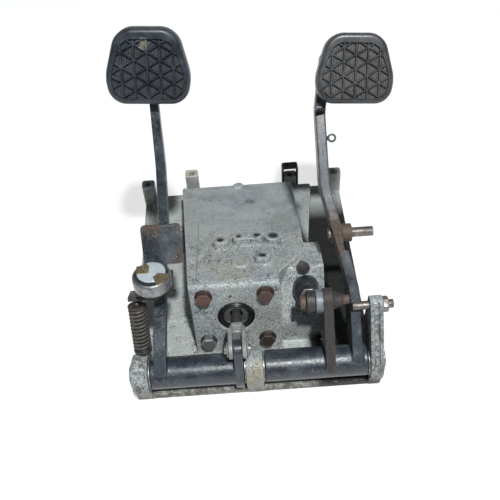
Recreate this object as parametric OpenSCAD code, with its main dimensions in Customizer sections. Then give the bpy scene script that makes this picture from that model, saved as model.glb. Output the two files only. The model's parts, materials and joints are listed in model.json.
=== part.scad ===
// Floor-hinged pedal box: a cast housing, a cross shaft, a clutch pedal and a brake pedal.
// Millimetres. X runs along the shaft, Y away from the driver and Z up.
// The origin lies on the underside of the base, below the middle of the cross shaft.

/* [Base plate] */
// Width of the base plate along the shaft
base_w = 235; // [228:1:250]
// Distance of the plate's driver-side edge from the shaft axis
base_front = 11; // [9:0.5:20]
// Distance of the plate's far edge from the shaft axis
base_back = 265; // [255:1:300]
// Thickness of the plate
floor_t = 6; // [4:0.5:7]
// Height of the lip along the plate's edge
lip_h = 8.5; // [7.5:0.5:9]
// Width of that lip
lip_w = 6; // [3:0.5:8]
// Radius of the plate's corners
base_r = 12; // [4:1:20]

/* [Tower of the housing] */
// Lean of the front wall from upright
face_lean = 10; // [6:1:14]
// Foot of the front wall behind the shaft axis, at the plate's top
face_foot = 32.5; // [30:0.5:40]
// Height of the ridge above the front wall
ridge_z = 94; // [88:1:104]
// Distance of the sloping roof's far end from the plate's far edge
roof_end = 22; // [18:1:28]
// Height of the roof's far end
roof_back_z = 40; // [34:1:50]
// Left side of the tower at its front
tower_left_front = 52; // [50:0.5:53]
// Left side of the tower at its far end
tower_left_back = 71; // [64:1:74]
// Right side of the tower
tower_right = 58; // [54:1:62]
// Right side of the front wall
face_right = 30; // [26:1:34]
// Wall thickness of the casting
wall_t = 5; // [4:0.5:5.5]
// Height of the raised panel on the roof
panel_h = 3; // [2:0.5:4]
// Depth of the tapped holes in the roof's bosses
tap_depth = 6.5; // [5:0.5:6.5]
// Radius of the casting's upright corners
tower_r = 7; // [3:0.5:9]

/* [Brake side of the housing] */
// Distance of the brake push rod to the right of the front wall
brake_side = 26; // [25:0.5:27]
// Slope of the brake push rod below level, square to the sloping face
rod_slope = 32; // [28:1:36]
// Distance of the sloping face from the joint pin along the rod
slope_face_d = 40; // [38:0.5:44]
// Foot height of the sloping face
slope_foot_z = 32; // [26:1:38]
// Reach of the brake lobe to the right of the push rod
lobe_set = 18; // [16:0.5:22]
// Far end of the brake lobe
lobe_back_y = 116; // [110:1:125]

/* [Cross shaft and tubes] */
// Height of the shaft axis above the underside
pivot_z = 28; // [27:0.5:32]
// Diameter of the cross shaft
shaft_d = 18; // [14:0.5:19]
// Outer diameter of the pedal tubes
tube_d = 30; // [28:0.5:31]
// Wall of the pedal tubes
tube_wall = 3; // [2:0.5:4]
// Length of each bush in a tube
bush_len = 16; // [10:1:24]
// Running clearance of the bushes on the shaft, on the radius
run_gap = 0.05; // [0.02:0.01:0.1]
// Side clearance between a turning part and its neighbour
side_gap = 0.4; // [0.3:0.05:0.6]
// Thickness of the thrust washers
washer_t = 1.5; // [1:0.1:2]
// Distance of the left ear from the plate's edge
ear_left_edge = 4.5; // [2:0.5:6]
// Thickness of the left ear
ear_left_t = 15; // [12:0.5:16]
// Thickness of the middle ear
ear_mid_t = 16; // [12:0.5:18]
// Middle of the middle ear along the shaft
ear_mid_x = 1; // [0:0.5:2]
// Thickness of the right ear
ear_right_t = 12; // [10:0.5:14]
// Overlap of the right ear on the plate
ear_right_on = 9; // [7:0.5:10]
// Radius of the ears around the shaft
ear_r = 19; // [16:0.5:19.5]

/* [Clutch pedal] */
// Angle of the clutch pedal above level, at rest
clutch_angle = 59; // [56:1:62]
// Travel of the clutch pedal in degrees
clutch_travel = 22; // [16:1:24]
// Distance of the clutch pad from the shaft axis
clutch_pad_r = 281; // [275:1:290]
// Set of the clutch pad to the right of its arm
clutch_pad_set = 1; // [-2:0.5:4]
// Set of the upper arm to the right of the lower bar's foot
arm_set = 18; // [15:0.5:20]
// Distance of the lower bar's middle from the left ear
bar_foot_gap = 12; // [11:0.5:14]
// Width of the lower bar
bar_w = 11.5; // [9:0.5:13]
// Width of the upper arm
arm_w = 8.5; // [7:0.5:10]
// Depth of the bar and arm, towards the driver
arm_depth = 14; // [11:0.5:15]
// Radius of the bends where bars and levers leave their tubes
bend_r = 30; // [20:1:34]
// Lower edge of the bracket plate, from the shaft axis
bracket_r = 110; // [106:1:114]
// Height of the bracket plate
bracket_h = 36; // [30:1:40]
// Width of the bracket plate
bracket_w = 34.5; // [31:0.5:37]
// Reach of the bracket plate to the right of the upper arm
bracket_set = 12.5; // [10:0.5:13]
// Thickness of the bracket plate
bracket_t = 5; // [3:0.5:6]

/* [Clutch lever and push rod] */
// Place of the clutch push rod along the shaft
rod_x = -13; // [-14:0.5:-12.5]
// Radius of the clutch lever at its pin
clutch_pin_r = 32; // [30:0.5:36]
// Diameter of the clevis pin
clutch_pin_d = 8; // [6:0.5:9]
// Thickness of the clutch lever
lever_t = 8; // [6:0.5:8.5]
// Radius of the lever's and the clevis's rounded ends
eye_r = 9; // [8:0.5:10]
// Radius of the clutch lever around its tube
hub_r = 18.5; // [17:0.5:19]
// Thickness of each cheek of the clevis
cheek_t = 4; // [3:0.5:5]
// Length of the push rod from the pin to its ball
push_len = 66; // [62:0.5:70]
// Diameter of the push rods
push_d = 9; // [7:0.5:10]
// Diameter of the ball at the rod's end
ball_d = 10; // [9:0.5:11]
// Clearance of that ball in the piston's cup, on the radius
cup_gap = 0.8; // [0.7:0.1:1.2]

/* [Clutch cylinder] */
// Diameter of the opening in the front wall
mouth_d = 36; // [34:0.5:38]
// Bore of the clutch cylinder
bore_d = 19; // [17:0.5:22]
// Wall of the clutch cylinder
cyl_wall = 7.5; // [5:0.5:9]
// Depth of the bore behind the front wall
bore_len = 76; // [72:1:84]
// Thickness of the cylinder's flange
flange_t = 8; // [6:0.5:8]
// Spacing of the four bolts, both ways
bolt_pitch = 58; // [54:0.5:59]
// Diameter of the bolts
bolt_d = 8; // [6:0.5:8]
// Length of the piston
piston_len = 22; // [18:1:26]

/* [Helper spring] */
// Distance of the lower ball from the shaft axis
spring_low_r = 23; // [22.5:0.5:24]
// Distance of the upper ball from the shaft axis
spring_top_r = 72; // [70:1:76]
// Outer diameter of the coil
coil_d = 17; // [14:0.5:17.5]
// Wire of the coil
coil_wire = 2.6; // [2:0.1:3]
// Number of turns in the coil
coil_turns = 11; // [8:1:13]
// Diameter of the spring's balls
seat_ball_d = 7; // [6:0.5:7.5]

/* [Round switch] */
// Outer diameter of the switch
switch_d = 34; // [30:0.5:35]
// Height of the switch
switch_h = 14; // [10:0.5:16]
// Set of the switch to the left of the upper arm
switch_set = 14; // [12:0.5:16]
// Lean of the switch's face from the pedal
switch_tilt = 25; // [20:1:30]

/* [Brake pedal] */
// Angle of the brake pedal above level, at rest
brake_angle = 49; // [48:1:51]
// Travel of the brake pedal in degrees
brake_travel = 12; // [8:1:14]
// Distance of the brake pad from the shaft axis
brake_pad_r = 267; // [260:1:276]
// Distance of the brake arm's middle from the right ear
brake_foot_gap = 11.5; // [10.5:0.5:13]
// Thickness of the brake arm
brake_arm_w = 9.5; // [8:0.5:11]
// Set of the arm to the left at its stud
stud_set = 12; // [10:0.5:13]
// Set of the arm to the left below its pad
brake_top_set = 21; // [18:0.5:23]
// Set of the brake pad to the right of the arm below it
brake_pad_set = 31; // [28:0.5:34]
// Half depth of the brake arm at its foot
brake_depth = 16; // [14:0.5:17]
// Distance of the stud from the shaft axis
stud_r = 121; // [116:1:126]
// Diameter of the stud
stud_d = 9; // [7:0.5:11]
// Length of the stud beyond its collar
stud_len = 20; // [14:1:26]

/* [Brake lever and stop] */
// Radius of the brake lever at its pin
brake_pin_r = 64; // [62:0.5:67]
// Diameter of the joint pin
brake_pin_d = 9; // [7:0.5:10]
// Set of the brake push rod to the left of its lever
brake_rod_set = 11; // [10.5:0.5:13]
// Thickness of the brake lever
brake_lever_t = 9; // [7:0.5:10]
// Distance of the stop pin from the shaft axis, along the arm
stop_r = 56; // [53:1:60]
// Diameter of the stop pin
stop_d = 8; // [6:0.5:9]
// Clearance of the arm from its stop at rest
stop_gap = 0.35; // [0.3:0.05:0.6]

/* [Pads] */
// Width of a pad at its lower edge
pad_w = 69; // [60:1:72]
// Width of a pad at its upper edge
pad_top_w = 48; // [44:1:54]
// Height of a pad
pad_h = 60; // [56:1:66]
// Thickness of the rubber in front of its plate
pad_t = 9; // [7:0.5:11]
// Thickness of the steel plate inside the pad
pad_plate_t = 4; // [3:0.5:5]
// Border of rubber around that plate
pad_border = 4; // [3:0.5:6]
// Plain rubber between the tread and that border at the top
pad_brow = 4; // [0:0.5:6]
// Turn of a pad on its arm, clockwise as the driver sees it
pad_turn = 4; // [0:1:6]
// Lean of a pad back from its arm
pad_lean = 8; // [4:1:12]
// Radius of a pad's corners
pad_r = 15; // [10:1:16]
// Side of the tread's triangles
tread_side = 12; // [9:0.5:15]
// Height of the tread's ribs
tread_h = 1.6; // [1:0.2:2.4]
// Width of the tread's ribs
tread_w = 1.9; // [1.4:0.1:2.6]

/* [Mounting lugs] */
// Distance of the outer lugs' middles from the plate's sides
lug_edge = 6.5; // [5.5:0.5:11]
// Half spacing of the inner lugs
lug_inner = 58; // [54:1:62]
// Width of a lug
lug_w = 15; // [12:0.5:17]
// Depth of a lug
lug_l = 13; // [11:0.5:15]
// Height of the lugs above the underside
lug_h = 36; // [30:1:42]
// Height of the left inner lug, which has no clip
lug_tall_h = 48; // [44:1:54]
// Diameter of the lug holes
lug_hole_d = 7; // [5:0.5:8]

/* [Hidden] */
$fn = 48;
// Smallest overlap that makes a cut run clear through
eps = 0.5;
// Reach of a cut that runs past every part
far = 120;

// Shaft, ears and tubes
ear_left_out = -base_w / 2 + ear_left_edge;
ear_left_in = ear_left_out + ear_left_t;
ear_right_in = base_w / 2 - ear_right_on;
ear_right_out = ear_right_in + ear_right_t;
ear_mid_left = ear_mid_x - ear_mid_t / 2;
ear_mid_right = ear_mid_x + ear_mid_t / 2;
ear_foot = 26;
bar_foot_x = ear_left_in + bar_foot_gap;
arm_x = bar_foot_x + arm_set;
clutch_pad_x = arm_x + clutch_pad_set;
bracket_right = arm_x + bracket_set;
bracket_left = bracket_right - bracket_w;
switch_x = arm_x - switch_set;
brake_foot_x = ear_right_in - brake_foot_gap;
brake_stud_x = brake_foot_x - stud_set;
brake_top_x = brake_foot_x - brake_top_set;
brake_pad_x = brake_top_x + brake_pad_set;
brake_rod_x = face_right + brake_side;
brake_lever_x = brake_rod_x + brake_rod_set;
lobe_right = brake_rod_x + lobe_set;
lug_outer = base_w / 2 - lug_edge;
tube_end = washer_t + side_gap;
clutch_tube_x = [ear_left_in + tube_end, ear_mid_left - tube_end];
brake_tube_x = [ear_mid_right + tube_end, ear_right_in - tube_end];
bush_d = tube_d - 2 * tube_wall;
ring_t = 1.5;
ring_gap = 0.3;
ring_x = [ear_left_out - ring_gap - ring_t, ear_right_out + ring_gap];
shaft_x = [ring_x.x - 1.5, ring_x.y + ring_t + 1.5];

// Front wall, with its outer side square to the clutch cylinder's axis
wall_s = face_foot * cos(face_lean) + (pivot_z - floor_t) * sin(face_lean);
ridge_y = face_foot + (ridge_z - floor_t) * tan(face_lean);
roof_back_y = base_back - roof_end;
roof_slope = atan((ridge_z - roof_back_z) / (roof_back_y - ridge_y));

// Clutch lever: square to the cylinder at half travel, so that its rod stays parallel
clutch_lever_angle = 90 - face_lean + clutch_travel / 2;
clutch_axis_d = clutch_pin_r * (1 + cos(clutch_travel / 2)) / 2;
clutch_pin_s = -clutch_pin_r * sin(clutch_travel / 2);
rod_turn = -90 - face_lean;
ball_s = clutch_pin_s + push_len;
lever_x = [rod_x - lever_t / 2, rod_x + lever_t / 2];
clip_t = 1.2;
clevis_w = lever_t + 2 * cheek_t + 2 * side_gap;
nut_af = 15;
clevis_s = eye_r + 6;
clevis_end = clevis_s + 8;
locknut_t = 4.5;

// Clutch cylinder, measured along its axis from the foot of the shaft's perpendicular
cyl_d = bore_d + 2 * cyl_wall;
spigot_d = mouth_d - 0.6;
spigot_s = wall_s + 3;
flange_s = wall_s + wall_t;
bore_end = flange_s + bore_len;
seat_d = bore_d + 7;
ring_s = spigot_s + 1.5;
piston_s = ball_s - 1;
piston_end = piston_s + piston_len;
bolt_head_t = 5.5;
bolt_af = 13;
bolt_flange_d = 17;
flange_w = bolt_pitch / 2 + 5.6;

// Helper spring: in line with the shaft at half travel, so that its length hardly changes
spring_x = ear_left_in - 4;
spring_mid = clutch_angle + 2 - clutch_travel / 2;
spring_top_angle = clutch_angle + 2;
spring_low = spring_low_r * [cos(spring_mid), sin(spring_mid)];
spring_top = spring_top_r * [cos(spring_top_angle), sin(spring_top_angle)];
spring_angle = atan2(spring_top.y - spring_low.y, spring_top.x - spring_low.x);
spring_len = (norm(spring_top - spring_low) + spring_top_r - spring_low_r) / 2;
seat_gap = 0.3;
top_seat_gap = 0.9;
stem_d = 5;
seat_t = 2;
plug_d = coil_d - 2 * coil_wire - 0.3;
plug_len = 8;
guide_d = plug_d - 4;
coil_s = [0.5 + seat_t, spring_len - 0.5 - seat_t];

// Clutch pedal, in a frame with Y along the pedal and Z towards the driver
bar_lean_r = 70;
arm_front = 4;
bar_end_r = 4;
arm_back = arm_front - arm_depth;
foot_front = tube_d / 2 + 2.5;
pad_belly = 36;
pad_front = arm_front + (pad_h / 2 + 4) * sin(pad_lean);
switch_r = bracket_r - 14.5;
switch_z = arm_front + switch_d / 2 * cos(switch_tilt) + 1.5;
switch_base_t = 3;
switch_recess_d = switch_d - 5;
seal_t = 1.6;
seal_bore = switch_recess_d - 10;
disc_d = switch_recess_d - 4;
disc_set = 1.6;
disc_t = 1.2;
disc_top = switch_h - 2 + seal_t + disc_t;
blade_t = 0.8;
tab_w = 9;
tab_l = 11;
bar_top_r = bracket_r + 14;
arm_mid_r = (bracket_r + clutch_pad_r) / 2;
hub_rise = 24;

// Brake lever, rod and sloping face
brake_lever_angle = 90 - rod_slope + brake_travel / 2;
brake_pin_y = brake_pin_r * cos(brake_lever_angle);
brake_pin_z = pivot_z + brake_pin_r * sin(brake_lever_angle);
slope_y = brake_pin_y + slope_face_d * cos(rod_slope);
slope_z = brake_pin_z - slope_face_d * sin(rod_slope);
slope_foot_y = slope_y - (slope_z - slope_foot_z) * tan(rod_slope);
eye_t = 8;
brake_eye_r = 10.5;
boss_x = brake_lever_x + brake_lever_t;
arm_gap = brake_foot_x - brake_arm_w / 2 - boss_x;
stub_end = boss_x + arm_gap - 1;
guide_wall = 3;
guide_bore = push_d + 1.2;
boot_d = 26;
boot_len = 23;
plug_at = [-2, -20];
plug_hole_d = 9;
lever_end_r = -2;
brake_arm_end_r = 0;
stud_boss_d = 20;
collar_t = 9;
stud_shank_d = stud_d + 2;
stud_x = [brake_stud_x - brake_arm_w / 2 - 3, brake_stud_x + brake_arm_w / 2 + collar_t + stud_len];
crank_r = stop_r + 14;
crank_top_r = stud_r + 44;
pad_foot_r = brake_pad_r - pad_h / 2 - 2;
foot_bend = 50;
crank_bend = 60;
lever_tip_r = brake_pin_r + 12;
lever_end_d = 20;
cone_d = 18;
cone_len = 0.6 * arm_gap;
washer_d = 22;
stop_z = brake_depth + stop_gap + stop_d / 2;
stop_y = stop_r * cos(brake_angle) - stop_z * sin(brake_angle);
stop_h = pivot_z + stop_r * sin(brake_angle) + stop_z * cos(brake_angle);
lug_y = base_back - lug_l / 2;
lug_at = [[-lug_outer, lug_h], [-lug_inner, lug_tall_h], [lug_inner, lug_h], [lug_outer, lug_h]];

// Raised panel on the roof: its middle, then its corners from there
panel_at = [-10, 105];
panel_low = [-37, -56];
panel_high = [38, 56];

// Bosses on the roof: X, Y, diameter, height, length to a second round end, hole
bosses = [
    [-24, 108, 15, 11, 0, 6], [-6, 111, 12, 12, 18, 5], [28, 111, 16, 10, 0, 6],
    [-5, 77, 17, 5, 0, 0], [16, 78, 15, 10, 0, 5.5], [-4, roof_back_y - 8, 12, 3, 0, 0]
];

// Slot in the panel's left side: its middle, width, length and depth, and the hole at its near end
slot_at = [-42, 88];
slot_size = [4, 16, 2];
slot_hole = [3.4, 2];

// Height and reach of the rib beside the tower
rib_h = 26;
rib_reach = 24;

// Unit vector along v
function unit(v) = v / norm(v);

// Point where the line through p along u meets the line through q along v
function meet(p, u, q, v) = p + u * cross(q - p, v) / cross(u, v);

// Arc of n steps that rounds the corner b between a and c
function corner(a, b, c, r, n) = r <= 0 ? [b] :
    let (u = unit(a - b), v = unit(c - b), half = acos(u * v) / 2)
    let (m = b + unit(u + v) * r / sin(half), s = b + u * r / tan(half), e = b + v * r / tan(half))
    let (from = atan2(s.y - m.y, s.x - m.x), to = atan2(e.y - m.y, e.x - m.x))
    let (turn = (to - from + 900) % 360 - 180)
    [for (i = [0:n]) m + r * [cos(from + turn * i / n), sin(from + turn * i / n)]];

// Closed outline p with its corners rounded by r, or by the list r
function rounded(p, r, n = 6) = [
    for (i = [0:len(p) - 1])
    each corner(p[(i + len(p) - 1) % len(p)], p[i], p[(i + 1) % len(p)], is_list(r) ? r[i] : r, n)
];

// Anticlockwise outline p moved inwards by d
function inset(p, d) = [
    for (i = [0:len(p) - 1])
    let (a = p[(i + len(p) - 1) % len(p)], b = p[i], c = p[(i + 1) % len(p)])
    let (u = unit(b - a), v = unit(c - b))
    meet(b + d * [-u.y, u.x], u, b + d * [-v.y, v.x], v)
];

// Rounded rectangle from corner a to corner b
function slab(a, b, r) = rounded([[a.x, a.y], [b.x, a.y], [b.x, b.y], [a.x, b.y]], r);

// Two round ends, r1 at the origin and r2 at distance l along X, with their tangents
module link(r1, r2, l) {
    tangent = acos((r1 - r2) / l);
    circle(r1);
    translate([l, 0]) circle(r2);
    polygon([
        r1 * [cos(tangent), sin(tangent)], r1 * [cos(tangent), -sin(tangent)],
        [l, 0] + r2 * [cos(tangent), -sin(tangent)], [l, 0] + r2 * [cos(tangent), sin(tangent)]
    ]);
}

// Side outline in Y and Z, pushed out along X from x.x to x.y
module side(x, pts) translate([x.x, 0, 0]) rotate([90, 0, 90]) linear_extrude(x.y - x.x) polygon(pts);

// Round bar along X from x.x to x.y at height z and depth y
module xbar(d, x, y = 0, z = 0) translate([x.x, y, z]) rotate([0, 90, 0]) cylinder(d = d, h = x.y - x.x);

// Washer along Z
module ring(d, bore, h) difference() {
    cylinder(d = d, h = h);
    translate([0, 0, -eps]) cylinder(d = bore, h = h + 2 * eps);
}

// Hexagon across flats af along Z
module hex(af, h) cylinder(d = af / cos(30), h = h, $fn = 6);

// Frame of a pedal or lever: Y along it from the shaft axis, Z towards the driver
module turned(angle) translate([0, 0, pivot_z]) rotate([angle, 0, 0]) children();

// Frame of the clutch cylinder, Z along its axis
module on_cylinder() turned(90 - face_lean) translate([rod_x, clutch_axis_d, 0])
    rotate([180, 0, 0]) children();

// Frame of the clutch push rod at rest, Z along it from the clevis pin
module on_rod() turned(clutch_lever_angle) translate([rod_x, clutch_pin_r, 0])
    rotate([rod_turn - clutch_lever_angle, 0, 0]) children();

// Frame of the brake push rod at rest, Z along it from the joint pin
module on_brake_rod() translate([brake_rod_x, brake_pin_y, brake_pin_z])
    rotate([-90 - rod_slope, 0, 0]) children();

// Frame of the helper spring at rest, Z along it from the lower ball
module on_spring() translate([spring_x, spring_low.x, pivot_z + spring_low.y])
    rotate([spring_angle - 90, 0, 0]) children();

// Frame of the switch, Z along its axis from its base
module on_switch() turned(clutch_angle) translate([switch_x, switch_r, switch_z])
    rotate([switch_tilt - 90, 0, 0]) children();

// Frame of the roof at distance y from the shaft, Z square to the roof
module on_roof(x, y) translate([x, y, ridge_z - (y - ridge_y) * tan(roof_slope)])
    rotate([-roof_slope, 0, 0]) children();

// Frames of the four bolts on the front wall, Z outwards
module at_bolts() on_cylinder() for (x = [-1, 1], y = [-1, 1])
    translate([x * bolt_pitch / 2, y * bolt_pitch / 2, wall_s]) rotate([180, 0, 0]) children();

// Side outline of the tower down to height z0
function tower_side(z0) = [
    [face_foot + (z0 - floor_t) * tan(face_lean), z0], [roof_back_y + 4, z0],
    [roof_back_y, roof_back_z], [ridge_y, ridge_z]
];

// Plan of the tower
function tower_plan() = [
    [-tower_left_front, 0], [face_right, 0], [face_right, slope_y],
    [tower_right, lobe_back_y - 20], [tower_right, base_back], [-tower_left_back, base_back]
];

// Side outline of the brake lobe down to height z0
function lobe_side(z0) = [
    [slope_foot_y, z0], [lobe_back_y, z0],
    [lobe_back_y, ridge_z - (lobe_back_y - ridge_y) * tan(roof_slope) - 4],
    meet([slope_y, slope_z], [sin(rod_slope), cos(rod_slope)],
        [ridge_y, ridge_z - 4], [cos(roof_slope), -sin(roof_slope)]),
    [slope_foot_y, slope_foot_z]
];

// Plan of the brake lobe
function lobe_plan() = [
    [face_right - wall_t, 0], [lobe_right, 0],
    [lobe_right, lobe_back_y + 8], [face_right - wall_t, lobe_back_y + 8]
];

// Solid of a side outline cut to a plan
module cast_block(outline, plan, z0) intersection() {
    side([-base_w, base_w], outline);
    translate([0, 0, z0 - 1]) linear_extrude(2 * ridge_z) polygon(plan);
}

// Ear of the casting around the shaft, from x.x to x.y, reaching back to foot
module shaft_ear(x, foot) translate([x.x, 0, 0]) rotate([90, 0, 90]) linear_extrude(x.y - x.x) {
    translate([0, pivot_z]) circle(ear_r);
    polygon([
        [-base_front, 0], [foot, 0],
        [ear_r * cos(20), pivot_z + ear_r * sin(20)], [-ear_r * cos(20), pivot_z]
    ]);
}

// Tall right ear with the stop pin at its top, a groove along its front and ribs on its outer side
module stop_ear() {
    top_r = stop_d / 2 + 4.5;
    reach = norm([stop_y, stop_h - pivot_z]);
    tangent = acos((ear_r - top_r) / reach);
    edge = [cos(tangent), sin(tangent)];
    groove_w = 5;
    groove_d = 3.5;
    difference() {
        union() {
            turned(atan2(stop_h - pivot_z, stop_y)) translate([ear_right_in, 0, 0]) rotate([90, 0, 90])
                linear_extrude(ear_right_t) link(ear_r, top_r, reach);
            side([ear_right_in, ear_right_out], [
                [-base_front, 0], [46, 0], [stop_y + top_r - 2, stop_h - 4], [-ear_r * cos(20), pivot_z]
            ]);
        }
        turned(atan2(stop_h - pivot_z, stop_y))
            side([ear_right_in, ear_right_out] + (ear_right_t - groove_w) / 2 * [1, -1], [
                (ear_r - groove_d) * edge, (ear_r + 1) * edge,
                [reach, 0] + (top_r + 1) * edge, [reach, 0] + (top_r - groove_d) * edge
            ]);
    }
    for (y = [14, 26])
        side([ear_right_out - eps, ear_right_out + 3], slab([y, 0], [y + 4, pivot_z + 4 + y], 1.5));
}

// Plate with a lip along its edge
module plate_solid() {
    edge = slab([-base_w / 2, -base_front], [base_w / 2, base_back], base_r);
    inner = slab(
        [-base_w / 2 + lip_w, -base_front + lip_w], [base_w / 2 - lip_w, base_back - lip_w], base_r - 2);
    linear_extrude(floor_t) polygon(edge);
    linear_extrude(lip_h) difference() {
        polygon(edge);
        polygon(inner);
    }
}

// Tower above the plate, with the raised panel on its roof
module tower_block() {
    cast_block(rounded(tower_side(floor_t), [0, 0, 8, 5]),
        rounded(tower_plan(), [tower_r, 4, 4, 4, 4, tower_r]), floor_t);
    on_roof(panel_at.x, panel_at.y) translate([0, 0, -1]) linear_extrude(panel_h + 1)
        polygon(slab(panel_low, panel_high, 9));
}

// Hollow of the tower, open below
module tower_hollow()
    cast_block(inset(tower_side(-wall_t - 1), wall_t), inset(tower_plan(), wall_t), -wall_t - 1);

// Hollow of the brake lobe, open below
module lobe_hollow()
    cast_block(inset(lobe_side(-wall_t - 1), wall_t), inset(lobe_plan(), wall_t), -wall_t - 1);

module lug_holes() for (l = lug_at)
    translate([l.x, lug_y, -eps]) cylinder(d = lug_hole_d, h = l.y + 2 * eps);

// Floor of the casting, with the rib beside the tower
module base_plate() color("darkgray") difference() {
    union() {
        plate_solid();
        difference() {
            linear_extrude(rib_h) polygon(rounded([
                [tower_right - 1, lobe_back_y], [tower_right + 6, lobe_back_y + 4],
                [tower_right + rib_reach, base_back - 14], [tower_right - 1, base_back - 14]
            ], [0, 3, 3, 0]));
            tower_block();
        }
    }
    tower_hollow();
    lobe_hollow();
    lug_holes();
}

// Tower of the casting: front wall for the clutch cylinder, side walls and sloping roof
module tower() color("darkgray") difference() {
    tower_block();
    tower_hollow();
    lobe_hollow();
    on_roof(slot_at.x, slot_at.y) translate([0, 0, panel_h - slot_size.z]) {
        linear_extrude(slot_size.z + eps)
            polygon(slab([-slot_size.x, -slot_size.y] / 2, [slot_size.x, slot_size.y] / 2, 1.8));
        translate([0, slot_hole.x / 2 - slot_size.y / 2, -slot_hole.y])
            cylinder(d = slot_hole.x, h = slot_hole.y + eps);
    }
    on_cylinder() translate([0, 0, wall_s - 20]) cylinder(d = mouth_d, h = 20 + wall_t + eps);
    at_bolts() translate([0, 0, -wall_t - eps]) cylinder(d = bolt_d + 0.5, h = wall_t + 10);
}

// Lobe of the casting beside the tower, with the sloping face for the brake push rod
module brake_lobe() color("darkgray") difference() {
    cast_block(rounded(lobe_side(floor_t), [0, 0, 4, 5, 6]), rounded(lobe_plan(), [0, 12, 14, 0]), floor_t);
    tower_block();
    lobe_hollow();
    on_brake_rod() translate([0, 0, slope_face_d - 20]) cylinder(d = guide_bore + 2 * guide_wall, h = 60);
    on_brake_rod() translate([plug_at.x, plug_at.y, slope_face_d - 4]) cylinder(d = plug_hole_d, h = 30);
}

// Three ears of the casting that carry the cross shaft
module shaft_ears() color("darkgray") difference() {
    union() {
        shaft_ear([ear_left_out, ear_left_in], ear_foot);
        shaft_ear([ear_mid_left, ear_mid_right], face_foot + 4);
        stop_ear();
    }
    plate_solid();
    tower_block();
    xbar(shaft_d, [-base_w, base_w], 0, pivot_z);
    xbar(stop_d, [ear_right_in - eps, base_w], stop_y, stop_h);
    turned(spring_mid) rotate([-90, 0, 0]) translate([spring_x, 0, shaft_d / 2 + 2])
        cylinder(d = stem_d, h = 20);
}

// Four mounting lugs of the casting, with upright holes
module lugs() color("darkgray") difference() {
    for (l = lug_at)
        translate([l.x, lug_y, 0]) linear_extrude(l.y)
            polygon(slab([-lug_w / 2, -lug_l / 2], [lug_w / 2, lug_l / 2], 3));
    plate_solid();
    lug_holes();
}

// Bosses of the casting on the roof, most of them with a tapped hole
module roof_bosses() color("darkgray") difference() {
    for (b = bosses)
        on_roof(b[0], b[1]) translate([0, 0, -1]) linear_extrude(b[3] + 1)
            if (b[4] > 0) link(b[2] / 2, b[2] / 2, b[4]); else circle(d = b[2]);
    tower_block();
    for (b = bosses, x = b[4] > 0 ? [0, b[4]] : [0])
        if (b[5] > 0)
            on_roof(b[0] + x, b[1]) translate([0, 0, b[3] - tap_depth])
                cylinder(d = b[5], h = tap_depth + eps);
}

module pivot_shaft() color("dimgray") difference() {
    xbar(shaft_d, shaft_x, 0, pivot_z);
    for (x = ring_x)
        translate([x, 0, pivot_z]) rotate([0, 90, 0]) ring(shaft_d + 2, shaft_d - 2, ring_t);
}

module shaft_rings() color("gray") for (x = ring_x)
    translate([x, 0, pivot_z]) rotate([0, 90, 0]) ring(shaft_d + 7, shaft_d - 2, ring_t);

module thrust_washers() color("silver")
    for (x = [ear_left_in, ear_mid_left - washer_t, ear_mid_right, ear_right_in - washer_t])
        translate([x, 0, pivot_z]) rotate([0, 90, 0]) ring(tube_d, shaft_d, washer_t);

// Flange bolts through the front wall, screwed into the cylinder's flange
module face_bolts() color("sienna") at_bolts() {
    cylinder(d = bolt_flange_d, h = 1.5);
    hex(bolt_af, bolt_head_t + 1.5);
    translate([0, 0, -wall_t - flange_t]) cylinder(d = bolt_d, h = wall_t + flange_t + eps);
}

module clutch_cylinder() color("gainsboro") on_cylinder() difference() {
    union() {
        translate([0, 0, spigot_s]) cylinder(d = spigot_d, h = flange_s - spigot_s + eps);
        translate([0, 0, flange_s]) linear_extrude(flange_t)
            polygon(slab([-flange_w, -flange_w], [flange_w, flange_w], 5));
        translate([0, 0, flange_s]) cylinder(d = cyl_d, h = bore_len + 6);
    }
    translate([0, 0, spigot_s - eps]) cylinder(d = seat_d, h = 3 + eps);
    translate([0, 0, spigot_s]) cylinder(d = bore_d, h = bore_end - spigot_s);
    translate([0, 0, bore_end - eps]) cylinder(d = 8, h = 8);
    for (x = [-1, 1], y = [-1, 1])
        translate([x * bolt_pitch / 2, y * bolt_pitch / 2, flange_s - eps])
            cylinder(d = bolt_d, h = flange_t + 2 * eps);
}

module cylinder_ring() color("silver") on_cylinder() translate([0, 0, ring_s])
    ring(seat_d, push_d + 3.4, 1.5);

module cylinder_boot() color("black") on_cylinder() translate([0, 0, wall_s + 1])
    ring(mouth_d, seat_d - 2, spigot_s - wall_s - 1);

module cylinder_union() color("goldenrod") on_cylinder() translate([0, 0, bore_end + 6]) {
    difference() {
        hex(nut_af, 9);
        translate([0, 0, -eps]) cylinder(d = 5, h = 20);
    }
    translate([0, 0, 9]) ring(8, 5, 8);
}

// Coil of wire along Z from s.x to s.y
module coil(d, wire, turns, s) {
    steps = 14;
    sides = 8;
    path = [for (i = [0:steps * turns])
        let (a = 360 * i / steps)
        [(d - wire) / 2 * cos(a), (d - wire) / 2 * sin(a),
            s.x + wire / 2 + (s.y - s.x - wire) * i / (steps * turns)]];
    points = [for (i = [0:len(path) - 1], k = [0:sides - 1])
        let (a = 360 * i / steps, b = 360 * k / sides)
        path[i] + wire / 2 * [cos(b) * cos(a), cos(b) * sin(a), sin(b)]];
    tube_faces = [for (i = [0:len(path) - 2], k = [0:sides - 1])
        [i * sides + k, i * sides + (k + 1) % sides, (i + 1) * sides + (k + 1) % sides, (i + 1) * sides + k]];
    first = [for (k = [sides - 1:-1:0]) k];
    last = [for (k = [0:sides - 1]) (len(path) - 1) * sides + k];
    polyhedron(points, concat(tube_faces, [first, last]));
}

module cylinder_spring() color("gray") on_cylinder() coil(bore_d - 3, 2, 6, [piston_end, bore_end]);

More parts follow.
